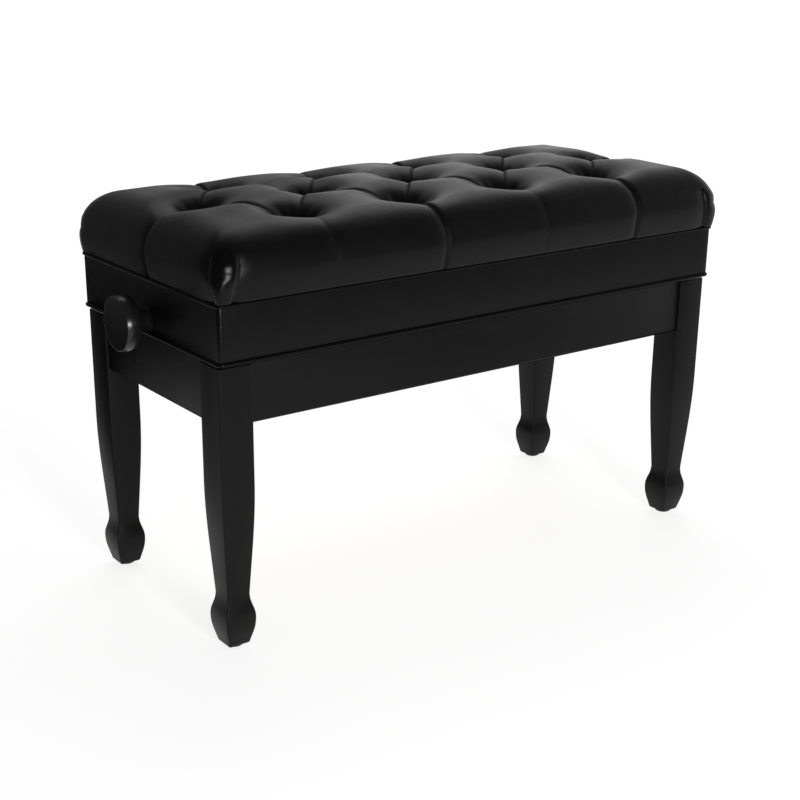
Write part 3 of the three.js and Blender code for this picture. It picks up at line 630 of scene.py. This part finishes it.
def build_cushion():
    """The stuffed form, sunk at the buttons, along the pleats and at the corner folds."""
    xs, ys, zs = cushion_grid()
    box, faces = cushion_points(xs, ys, zs)
    foot, widest = zs[0], zs[0] + WIDEST_ABOVE_FOOT
    half_x, half_y = xs[-1], ys[-1]
    surface = shape_cushion(box, half_x, half_y, foot, widest)
    x, y, z = box.T
    on_top = z > zs[-1] - TOP_TOLERANCE
    level = CROWN_LEVEL * (half_x - EDGE_REACH)
    rise_x = np.clip(1 - np.maximum(np.abs(x) - level, 0) / (half_x - level), 0, 1)
    crown = CROWN * (1 - (y / half_y) ** 2) ** 2 * np.sin(rise_x * math.pi / 2) ** 2
    surface[:, 2] += np.where(on_top, crown, 0)
    normals = vertex_normals(surface, faces)

    down = zs[-1] - z
    sink = np.where(on_top, tuft_sink(x, y), 0)
    folds, lines = np.where(on_top, pleat_sink(x, y), 0)
    edges = ((-y, -half_y, y, x, TUFT_ROW_Y, EDGE_PLEATS_FRONT, 0.0),
             (y, half_y, y, x, TUFT_ROW_Y, EDGE_PLEATS_BACK, 0.0),
             (-x, -half_x, x, -y, END_TUFT_X, EDGE_PLEATS_END, END_PLEAT_DRIFT),
             (x, half_x, x, y, END_TUFT_X, EDGE_PLEATS_END, END_PLEAT_DRIFT))
    for outward, edge, across, along, tufts, strengths, drift in edges:
        on_side = np.isclose(across, edge) | on_top
        travel = np.where(on_side, outward - tufts + down, -1)
        more, shade_marks = edge_pleat_sink(along, travel, strengths, drift)
        folds, lines = np.maximum(folds, more), np.maximum(lines, shade_marks)
    folds = folds * np.clip(1 - sink / TUFT_DEPTH, 0, 1) ** 2
    total = sink + folds + corner_folds(surface, z, foot)
    surface -= normals * total[:, None]
    obj = new_object("tufted_cushion", surface, faces, LEATHER)
    # the mask for the painted shade along the folds, which the leather material reads
    mark = obj.data.attributes.new(FOLD_LINE, "FLOAT", "POINT")
    mark.data.foreach_set("value", lines.astype(np.float32))
    place(obj, "seat", "leather", "cushion")


def corner_folds(surface, z, foot):
    """The upright folds that take in the leather at each corner, with a full panel between
    them. They run from the foot to the shoulder. The back corners have one, at the back."""
    half_x, half_y = CUSHION_HALF
    height = (z - foot) / (FOLD_TOP - foot)
    rise = np.clip(height, 0, 1)
    fade = np.clip((1.0 - height) / FOLD_FADE, 0, 1)
    fade = fade * fade * (3 - 2 * fade)
    swell = np.interp(height, *PANEL_SWELL)
    from_x = half_x - np.abs(surface[:, 0])
    from_y = half_y - np.abs(surface[:, 1])
    on_long = from_y < from_x
    dist = np.where(on_long, from_x - (LONG_FOLD[0] + LONG_FOLD[1] * rise),
                    from_y - (END_FOLD[0] + END_FOLD[1] * rise))
    groove = FOLD_DEPTH * crease(-dist, FOLD_SLOPE, FOLD_TUCK)
    panel = np.where(dist < 0, 1 - np.exp(dist / PANEL_EDGE), 0)
    fold = fade * (groove - PANEL_BULGE * swell * panel)
    return np.where(on_long | (surface[:, 1] < 0), fold, 0)


def untufted_height(y):
    """The height of the cushion's top at a button, as it would be without the tufting."""
    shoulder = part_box("cushion")[0].z + WIDEST_ABOVE_FOOT + EDGE_DROP
    return shoulder + CROWN * (1 - (y / CUSHION_HALF[1]) ** 2) ** 2


def build_buttons():
    """Thirteen leather-covered buttons at the bottom of the hollows."""
    outline = [(r * MM, h * MM) for r, h in rounded(BUTTON_DOME, 2.0, 4)]
    for k, (x, y) in enumerate(tuft_points()):
        at = (x, y, untufted_height(y) - TUFT_DEPTH + BUTTON_LIFT)
        button = lathe(f"button_{k + 1}", outline, LEATHER, "Z", at, 40)
        place(button, "seat", "leather")


build_cushion()
build_buttons()


# ------------ leather box and welts

COVER_FACE = (378.5 * MM, 166 * MM)
COVER_THICK = 2.5 * MM
COVER_CORNER = 5 * MM
COVER_TURN_IN = 16 * MM         # how far the leather is turned in over the boards
COVER_ON_BOARDS = (0.1 * MM, 0.5 * MM)  # its two surfaces there, above the boards
COVER_ROUND = 1.2 * MM
COVER_START = 6 * MM            # where its section starts on the inside
HEM_ABOVE_WELT = 1.5 * MM
WELT_CORNER = 6 * MM
WELT_ARC = 0.62 * math.pi       # half of the cord's arc that shows
FLANGE_REACH = 1.6 * MM
FLANGE_HALF = (0.4 * MM, 0.3 * MM)  # half its thickness at the cord and at its inner edge
BUSHING_HOLE = 15.1 * MM
CUTTER_SPARE = 10 * MM


def screw_height():
    """The middle of the lead screw."""
    lo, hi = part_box("lead_screw")
    return (lo.z + hi.z) / 2


def ring_path(half_x, half_y, corner, straight_step=6 * MM, corner_steps=10):
    """A closed rounded rectangle as points and outward directions, counter-clockwise."""
    points, outward = [], []
    for k, (sx, sy) in enumerate(((1, -1), (1, 1), (-1, 1), (-1, -1))):
        centre = np.array([sx * (half_x - corner), sy * (half_y - corner)])
        start = -math.pi / 2 + k * math.pi / 2
        for t in np.linspace(0, math.pi / 2, corner_steps):
            way = np.array([math.cos(start + t), math.sin(start + t)])
            points.append(centre + corner * way)
            outward.append(way)
        turn = np.array([math.cos(start + math.pi / 2), math.sin(start + math.pi / 2)])
        length = 2 * ((half_y if k % 2 == 0 else half_x) - corner)
        along = np.array([-turn[1], turn[0]])
        last = points[-1]
        for d in np.linspace(0, length, max(2, int(length / straight_step)))[1:-1]:
            points.append(last + along * d)
            outward.append(turn)
    return np.array(points), np.array(outward)


def swept_ring(name, path, outward, section, material):
    """A closed section of (outward, up) points swept round a closed path."""
    count, sides = len(path), len(section)
    verts = []
    for point, way in zip(path, outward):
        for out, up in section:
            verts.append((point[0] + way[0] * out, point[1] + way[1] * out, up))
    faces = []
    for i in range(count):
        j = (i + 1) % count
        for a in range(sides):
            b = (a + 1) % sides
            faces.append((i * sides + a, i * sides + b, j * sides + b, j * sides + a))
    return new_object(name, verts, faces, material)


def build_welt(name, radius, flange):
    """Leather piping: a round cord with a sewn flange that goes in under the seat or box.
    `flange` is the height of its inner edge above the cord's middle."""
    lo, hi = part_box(name)
    middle = (lo.z + hi.z) / 2
    path, outward = ring_path(hi.x - radius, hi.y - radius, WELT_CORNER)
    section = []
    for t in np.linspace(WELT_ARC, -WELT_ARC, 15):
        section.append((radius * math.cos(t), middle + radius * math.sin(t)))
    root, tip = -0.8 * radius, -radius - FLANGE_REACH
    section += [(root, middle - FLANGE_HALF[0]), (tip, middle - FLANGE_HALF[1] + flange),
                (tip, middle + FLANGE_HALF[1] + flange), (root, middle + FLANGE_HALF[0])]
    obj = swept_ring(name + "_piping", path, outward, section, PIPING)
    sharpen(obj, 50)
    place(obj, "seat", "leather", name)


def build_cover():
    """The leather round the box: rounded corners, a turned top edge over the boards and a
    turned hem below, with a hole at each end for the screw's bushing."""
    path, outward = ring_path(*COVER_FACE, COVER_CORNER, 8 * MM, 8)
    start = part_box("skirt_cover")[0].z + COVER_START
    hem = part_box("welt_bottom")[0].z + HEM_ABOVE_WELT
    under, over = (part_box("skirt_front")[1].z + gap for gap in COVER_ON_BOARDS)
    section = rounded([
        (-COVER_THICK, start), (-COVER_THICK, hem), (0.0, hem), (0.0, over),
        (-COVER_TURN_IN, over), (-COVER_TURN_IN, under), (-COVER_THICK, under),
        (-COVER_THICK, start)], COVER_ROUND, 4)
    obj = swept_ring("skirt_leather", path, outward, section[:-1], SKIRT_LEATHER)
    cut_bushing_holes(obj)
    sharpen(obj, 40)
    place(obj, "seat", "leather", "skirt_cover")


def cut_bushing_holes(obj):
    """Round holes where the bushings stand in the leather, cut with a boolean."""
    reach = COVER_FACE[0] + CUTTER_SPARE
    outline = [(0, -reach), (BUSHING_HOLE, -reach), (BUSHING_HOLE, reach), (0, reach)]
    cutter = lathe("bushing_cutter", outline, LEATHER, "X", (0, 0, screw_height()), 64)
    cut = obj.modifiers.new("bushing_holes", "BOOLEAN")
    cut.operation = "DIFFERENCE"
    cut.solver = "EXACT"
    cut.object = cutter
    depsgraph = bpy.context.evaluated_depsgraph_get()
    mesh = bpy.data.meshes.new_from_object(obj.evaluated_get(depsgraph))
    obj.modifiers.remove(cut)
    obj.data = mesh
    bpy.data.objects.remove(cutter)


build_cover()
build_welt("welt_bottom", 2.5 * MM, 0.8 * MM)
build_welt("welt_top", 2.0 * MM, 1.0 * MM)


# ------------ frame

LEG_WIDTH = 42.5 * MM
LEG_TAPER_TOP = 205 * MM
ANKLE = (29.5 * MM, 67 * MM)    # width and height
FOOT = (39.5 * MM, 38 * MM)
FOOT_BOTTOM_WIDTH = 27.5 * MM
LEG_ARRIS = 1.6 * MM
LEG_EASE = 0.8 * MM             # the small slope at the leg's bottom and top edges
LEG_HEAD_START = 20 * MM
# The handles of the leg's curves, measured from the points that they belong to.
BOTTOM_HANDLE = (3.5 * MM, 15 * MM)
FOOT_HANDLES = (14 * MM, 11 * MM)
ANKLE_HANDLES = (13 * MM, 57 * MM)
ANKLE_SWELL = 3.4 * MM
TAPER_HANDLE = 47 * MM
# Outlines of the glides' dimple and nail, as (radius, height) in millimetres.
GLIDE_DIMPLE = ((0, 1.1), (3.0, 1.1), (3.6, 0.0))
NAIL_HEAD = ((0, 0.4), (2.2, 0.6), (2.9, 1.1), (0, 1.4))
GLIDE_TREAD = 0.82              # the flat tread's share of the glide's radius
GLIDE_TOP = 0.94


def bezier(start, first, second, end, steps):
    """Points of a cubic curve, its start left out."""
    start, first, second, end = (np.array(p, float) for p in (start, first, second, end))
    out = []
    for t in np.linspace(0, 1, steps + 1)[1:]:
        u = 1 - t
        out.append(u ** 3 * start + 3 * u * u * t * first + 3 * u * t * t * second + t ** 3 * end)
    return out


def leg_outline(bottom_z, top_z):
    """Half width against height: bottom, spade foot, ankle, taper and straight head."""
    bottom, foot, ankle, top = (w / 2 for w in (FOOT_BOTTOM_WIDTH, FOOT[0], ANKLE[0], LEG_WIDTH))
    foot_z, ankle_z = FOOT[1], ANKLE[1]
    points = [np.array((bottom - LEG_EASE, bottom_z)), np.array((bottom, bottom_z + LEG_EASE))]
    swell = (bottom + BOTTOM_HANDLE[0], bottom_z + BOTTOM_HANDLE[1])
    points += bezier(points[-1], swell, (foot, foot_z - FOOT_HANDLES[0]), (foot, foot_z), 16)
    points += bezier(points[-1], (foot, foot_z + FOOT_HANDLES[1]),
                     (ankle, ankle_z - ANKLE_HANDLES[0]), (ankle, ankle_z), 18)
    points += bezier(points[-1], (ankle + ANKLE_SWELL, ankle_z + ANKLE_HANDLES[1]),
                     (top, LEG_TAPER_TOP - TAPER_HANDLE), (top, LEG_TAPER_TOP), 24)
    head = np.linspace(LEG_TAPER_TOP + LEG_HEAD_START, top_z - LEG_EASE, 5)
    points += [np.array((top, z)) for z in head]
    points.append(np.array((top - LEG_EASE, top_z)))
    return points


def tube_faces(rings, sides):
    """Quads between rings of points, and a cap on each end."""
    faces = []
    for i in range(rings - 1):
        for a in range(sides):
            b = (a + 1) % sides
            faces.append((i * sides + a, i * sides + b, (i + 1) * sides + b, (i + 1) * sides + a))
    faces.append(tuple(range(sides)))
    faces.append(tuple(range((rings - 1) * sides, rings * sides)))
    return faces


def build_leg(corner):
    """A square leg with eased arrises, tapered to the ankle and swelling to a spade foot."""
    lo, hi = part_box(f"leg_{corner}")
    middle = (lo + hi) / 2
    rings = []
    for half, z in leg_outline(lo.z, hi.z):
        path, _ = ring_path(half, half, LEG_ARRIS, half, 5)
        rings.append([(middle.x + x, middle.y + y, z) for x, y in path])
    verts = [v for ring in rings for v in ring]
    faces = tube_faces(len(rings), len(rings[0]))
    leg = new_object(f"leg_{corner}_shaped", verts, faces, FRAME_Z)
    sharpen(leg, 40)
    place(leg, "base", "frame_wood", f"leg_{corner}")


for corner in CORNERS:
    build_leg(corner)
    from_cad(f"corner_block_{corner}", "inner_wood", BEECH_X, 1.5 * MM)
    from_cad(f"bumper_{corner}", "bumper", BUMPER, 0.4 * MM)
for side in ("front", "back"):
    from_cad(f"apron_{side}", "frame_wood", FRAME_X, 1.0 * MM)
for side in ("left", "right"):
    from_cad(f"apron_{side}", "frame_wood", FRAME_Y, 1.0 * MM)
    from_cad(f"crossbar_{side}", "inner_wood", BEECH_Y, 1.5 * MM)


def build_glide(corner):
    """A nylon glide with a rounded tread and the nail's head in a dimple under it."""
    lo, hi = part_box(f"glide_{corner}")
    middle = (lo + hi) / 2
    origin = (middle.x, middle.y, lo.z)
    radius = (hi.x - lo.x) / 2
    tall = hi.z - lo.z
    outline = [(r * MM, h * MM) for r, h in GLIDE_DIMPLE]
    outline += [(radius * GLIDE_TREAD, 0.0), (radius, 1.2 * MM), (radius, tall - 0.6 * MM),
                (radius * GLIDE_TOP, tall), (0, tall)]
    glide = lathe(f"glide_{corner}_turned", rounded(outline, 0.8 * MM), NYLON, "Z", origin, 56)
    place(glide, "base", "nylon", f"glide_{corner}")
    head = rounded([(r * MM, h * MM) for r, h in NAIL_HEAD], 0.5 * MM, 4)
    nail = lathe(f"glide_nail_{corner}", head, ZINC, "Z", origin, 32)
    place(nail, "base", "zinc_steel")


for corner in CORNERS:
    build_glide(corner)
    from_cad(f"leg_bolt_{corner}", "zinc_steel", ZINC, 0.4 * MM)


# ------------ seat box and lift

from_cad("deck", "plywood", PLYWOOD, 0.8 * MM)
for side, finish in (("front", FRAME_X), ("back", FRAME_X), ("left", FRAME_Y), ("right", FRAME_Y)):
    from_cad(f"skirt_{side}", "frame_wood", finish, 0.8 * MM)
for side in ("front", "back"):
    for part, bevel in (("lower_rail", 0.5), ("upper_rail", 0.5), ("arm_a", 0.6), ("arm_b", 0.6)):
        from_cad(f"{part}_{side}", "black_steel", BLACK_STEEL, bevel * MM)
    for part in ("nut_rod", "thrust_rod"):
        from_cad(f"{part}_{side}", "zinc_steel", ZINC, 0.5 * MM)
for rod in ("lower_pivot_rod", "centre_rod", "slide_rod"):
    from_cad(rod, "zinc_steel", ZINC, 0.6 * MM)
from_cad("thrust_block", "black_steel", BLACK_STEEL, 1.2 * MM)
from_cad("trunnion_nut", "brass", BRASS, 1.2 * MM)
for side in ("left", "right"):
    from_cad(f"thrust_collar_{side}", "zinc_steel", ZINC, 0.4 * MM)

KNOB_FACE = 418 * MM
KNOB_BACK = 397 * MM
KNOB_SOCKET = KNOB_BACK + 10 * MM  # the bottom of the hole that the screw goes into
KNOB_NECK = 12 * MM
KNOB_NECK_END = 379.1 * MM
KNOB_NECK_EASE = 0.8 * MM
KNOB_EDGE = 0.8 * MM            # the round where the face meets the rim
KNOB_DISH = ((0, 0.5), (14, 0.4), (24, 0.15))  # radius and depth, millimetres
# The rim from face to back as (radius, place along X), and the curve into the neck as
# (radius past the neck's, distance behind the back), in millimetres.
KNOB_RIM = ((31.6, 417.2), (32.2, 415.6), (32.7, 413.4), (33.0, 410.6), (33.0, 407.6),
            (32.7, 404.8), (32.0, 402.2), (30.9, 400.0), (29.3, 398.3), (27.0, 397.3),
            (23.0, 397.05))
KNOB_ROOT = ((6, 0), (2, 0.6), (0, 3))
BUSHING_TUBE = 10 * MM
BUSHING_FLANGE = 2 * MM
SCREW_RADIUS = 6 * MM
SCREW_BORE = SCREW_RADIUS + 0.3 * MM
SCREW_CHAMFER = 1.2 * MM
SCREW_SIDES = 20
THREAD_PITCH = 4 * MM
THREAD_DEPTH = 1.1 * MM
THREAD_SPAN = (96 * MM, 236 * MM)
THREAD_RUN_OUT = 1.5            # turns over which the thread fades out
THREAD_GAP = 1 * MM
THREAD_PROFILE = ((0.0, 0.0), (0.32, 0.0), (0.44, 1.0), (0.88, 1.0))  # shares of pitch, depth


def build_knob(side, sign):
    """A round hand knob: faintly dished face with a crisp edge, rim full towards the back,
    and a neck that reaches the bushing."""
    outline = [(r * MM, KNOB_FACE - depth * MM) for r, depth in KNOB_DISH]
    for t in np.linspace(0, math.pi / 2, 6)[:-1]:
        outline.append((KNOB_RIM[0][0] * MM - KNOB_EDGE * (1 - math.sin(t)),
                        KNOB_FACE - KNOB_EDGE * (1 - math.cos(t))))
    outline += [(r * MM, x * MM) for r, x in KNOB_RIM]
    outline += [(KNOB_NECK + r * MM, KNOB_BACK - x * MM) for r, x in KNOB_ROOT]
    outline += [(KNOB_NECK, KNOB_NECK_END + KNOB_NECK_EASE),
                (KNOB_NECK - KNOB_NECK_EASE, KNOB_NECK_END), (SCREW_BORE, KNOB_NECK_END),
                (SCREW_BORE, KNOB_SOCKET), (0, KNOB_SOCKET)]
    outline = [(r, sign * x) for r, x in outline]
    knob = lathe(f"knob_{side}_turned", outline, KNOB, "X", (0, 0, screw_height()), 128, 50)
    place(knob, "screw", "knob", f"knob_{side}")


def build_bushing(side, sign):
    """The screw's plain bearing in the end board, with a flange flush with the leather."""
    lo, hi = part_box(f"screw_bushing_{side}")
    inner, face = sorted((abs(lo.x), abs(hi.x)))
    flange = (hi.z - lo.z) / 2
    outline = rounded([
        (SCREW_BORE, inner), (BUSHING_TUBE, inner), (BUSHING_TUBE, face - BUSHING_FLANGE),
        (flange, face - BUSHING_FLANGE), (flange, face), (SCREW_BORE, face),
        (SCREW_BORE, inner)], 0.5 * MM, 4)
    outline = [(r, sign * x) for r, x in outline]
    bushing = lathe(f"screw_bushing_{side}_turned", outline, NYLON, "X",
                    (0, 0, screw_height()), 64)
    place(bushing, "seat", "nylon", f"screw_bushing_{side}")


def build_screw():
    """The long screw: a plain shaft with a trapezoidal thread where the nut travels."""
    z, end = screw_height(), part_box("lead_screw")[1].x
    start, stop = THREAD_SPAN
    tip = SCREW_RADIUS - SCREW_CHAMFER
    rings = [(-end, tip, 0.0), (-end + SCREW_CHAMFER, SCREW_RADIUS, 0.0),
             (start - THREAD_GAP, SCREW_RADIUS, 0.0)]
    turns = int(round((stop - start) / THREAD_PITCH))
    for turn in range(turns):
        fade = min(1.0, turn / THREAD_RUN_OUT, (turns - 1 - turn) / THREAD_RUN_OUT)
        for share, deep in THREAD_PROFILE:
            x = start + (turn + share) * THREAD_PITCH
            rings.append((x, SCREW_RADIUS - THREAD_DEPTH * deep * fade, THREAD_PITCH))
    rings += [(stop + THREAD_PITCH + THREAD_GAP, SCREW_RADIUS, 0.0),
              (end - SCREW_CHAMFER, SCREW_RADIUS, 0.0), (end, tip, 0.0)]
    verts = []
    for x, r, lead in rings:
        for k in range(SCREW_SIDES):
            a = 2 * math.pi * k / SCREW_SIDES
            verts.append((x + lead * k / SCREW_SIDES, r * math.cos(a), z + r * math.sin(a)))
    faces = tube_faces(len(rings), SCREW_SIDES)
    screw = new_object("lead_screw_threaded", verts, faces, ZINC)
    sharpen(screw, 25)
    place(screw, "screw", "zinc_steel", "lead_screw")


for side, sign in LEFT_RIGHT:
    build_knob(side, sign)
    build_bushing(side, sign)
build_screw()


# ------------ stage, light, camera

FLOOR_HALF = 5.0
FLOOR_TONES = ((0.42, 0.42, 0.42), (0.46, 0.46, 0.46))
FLOOR_GLOW = 0.80
FLOOR_FADE = (0.8, 1.7)         # distances from the middle over which the floor fades out
FLAG_TONES = ((0.004, 0.004, 0.004), (0.006, 0.006, 0.006))
FLAG_GLOW_HEIGHTS = (0.30, 0.42)
LEFT_FLAG = [(-0.485, 0.04, 0.04), (-0.485, 1.4, 0.04), (-0.485, 1.4, 0.75), (-0.485, 0.04, 0.75)]
BACK_FLAG = [(-0.60, 0.80, 0.30), (0.38, 0.80, 0.30), (0.38, 0.80, 1.30), (-0.60, 0.80, 1.30)]
WORLD_BEHIND = (0.86, 0.50, 0.0)  # the way to the bright part of the surround
WORLD_EDGE = (0.15, 0.70)
WORLD_HEIGHT = (0.30, 0.75)
WORLD_DIM, WORLD_BRIGHT = 0.14, 1.05
# Each area light: name, place, what it looks at, width and height, power.
LIGHTS = (
    ("overhead", (0.9, 1.4, 2.5), (0.2, 0.2, 0), (2.0, 1.6), 16),
    ("front_light", (-0.55, -2.3, 0.60), (-0.2, 0, 0.40), (0.34, 0.50), 28),
    ("low_fill", (-0.65, -1.25, 0.10), (-0.36, -0.15, 0.38), (0.16, 0.12), 0.6),
)
CAMERA_AT = (-1.0895, -1.4330, 0.7831)
CAMERA_AZIMUTH, CAMERA_ELEVATION = math.radians(-34.91), math.radians(19.18)
CAMERA_LENS = 63.86
CAMERA_SHIFT = (0.059, 0.033)


def build_stage():
    """A pale floor that fades into the white surround, and is open when seen from below."""
    size = FLOOR_HALF
    verts = [(-size, -size, 0), (size, -size, 0), (size, size, 0), (-size, size, 0)]
    n = Nodes("floor_pale")
    cloud = n.noise(n.coords(), scale=1.5)
    flat = n.add("ShaderNodeVectorMath", operation="LENGTH", inputs={0: n.coords((1, 1, 0))})
    fade = n.ramp(flat.outputs["Value"], 1.0, 0.0, *FLOOR_FADE)
    underneath = n.add("ShaderNodeNewGeometry").outputs["Backfacing"]
    above = n.math("SUBTRACT", 1.0, underneath)
    n.set(n.shader.inputs["Alpha"], n.math("MULTIPLY", fade, above))
    material = n.finish(n.colour(cloud, *FLOOR_TONES), 0.7, Specular_IOR_Level=0.1,
                        Emission_Color=(1, 1, 1, 1), Emission_Strength=FLOOR_GLOW)
    floor = new_object("floor", verts, [(0, 1, 2, 3)], material, smooth=False)


def build_flag(name, corners, opacity, glow=0.0):
    """A card that only reflections see, to keep a surface dark. `glow` is how much light its
    upper part gives back."""
    n = Nodes(name)
    cloud = n.noise(n.coords(), scale=3.0, detail=2.0)
    height = n.add("ShaderNodeSeparateXYZ", inputs={0: n.coords()}).outputs["Z"]
    n.set(n.shader.inputs["Emission Strength"], n.ramp(height, 0.0, glow, *FLAG_GLOW_HEIGHTS))
    n.shader.inputs["Alpha"].default_value = opacity
    material = n.finish(n.colour(cloud, *FLAG_TONES), 0.9,
                        Specular_IOR_Level=0.0, Emission_Color=(1, 1, 1, 1))
    flag = new_object(name, corners, [(0, 1, 2, 3)], material, smooth=False)
    flag.visible_camera = flag.visible_diffuse = flag.visible_shadow = False


def area_light(name, place_at, look_at, size, power):
    """A rectangular light that the camera doesn't see."""
    data = bpy.data.lights.new(name, "AREA")
    data.shape = "RECTANGLE"
    data.size, data.size_y = size
    data.energy = power
    light = bpy.data.objects.new(name, data)
    light.location = place_at
    light.visible_camera = False
    way = Vector(look_at) - Vector(place_at)
    light.rotation_euler = way.to_track_quat("-Z", "Y").to_euler()
    bpy.context.scene.collection.objects.link(light)


def build_world():
    """A white band low behind the bench, dim overhead and on the player's side, so that the
    black surfaces show their form."""
    world = bpy.data.worlds.new("studio")
    world.use_nodes = True
    tree = world.node_tree
    background = tree.nodes["Background"]
    background.inputs["Color"].default_value = (1.0, 1.0, 1.0, 1)
    way = tree.nodes.new("ShaderNodeTexCoord").outputs["Generated"]

    def grade(direction, start, end, low, high):
        facing = tree.nodes.new("ShaderNodeVectorMath")
        facing.operation = "DOT_PRODUCT"
        facing.inputs[1].default_value = direction
        step = tree.nodes.new("ShaderNodeMapRange")
        step.interpolation_type = "SMOOTHSTEP"
        step.inputs["From Min"].default_value = start
        step.inputs["From Max"].default_value = end
        step.inputs["To Min"].default_value = low
        step.inputs["To Max"].default_value = high
        tree.links.new(way, facing.inputs[0])
        tree.links.new(facing.outputs["Value"], step.inputs["Value"])
        return step.outputs["Result"]

    behind = grade(WORLD_BEHIND, *WORLD_EDGE, 0.0, 1.0)
    low = grade((0, 0, 1), *WORLD_HEIGHT, 1.0, 0.0)
    both = tree.nodes.new("ShaderNodeMath")
    both.operation = "MULTIPLY"
    tree.links.new(behind, both.inputs[0])
    tree.links.new(low, both.inputs[1])
    span = tree.nodes.new("ShaderNodeMapRange")
    span.inputs["To Min"].default_value = WORLD_DIM
    span.inputs["To Max"].default_value = WORLD_BRIGHT
    tree.links.new(both.outputs["Value"], span.inputs["Value"])
    tree.links.new(span.outputs["Result"], background.inputs["Strength"])
    bpy.context.scene.world = world


def build_camera():
    """Looks at the front and the left end from a little above, as in the product view."""
    data = bpy.data.cameras.new("camera")
    data.lens = CAMERA_LENS
    data.sensor_width = 36.0
    data.shift_x, data.shift_y = CAMERA_SHIFT
    data.clip_start, data.clip_end = 0.05, 50
    camera = bpy.data.objects.new("camera", data)
    camera.location = CAMERA_AT
    camera.rotation_euler = (math.pi / 2 - CAMERA_ELEVATION, 0, CAMERA_AZIMUTH)
    bpy.context.scene.collection.objects.link(camera)
    bpy.context.scene.camera = camera


def set_look():
    """Colours go to the picture as they are."""
    view = bpy.context.scene.view_settings
    view.view_transform = "Standard"
    view.look = "None"


build_stage()
build_flag("left_flag", LEFT_FLAG, 1.0, glow=0.2)
build_flag("back_flag", BACK_FLAG, 0.55)
build_world()
for light in LIGHTS:
    area_light(*light)
build_camera()
set_look()
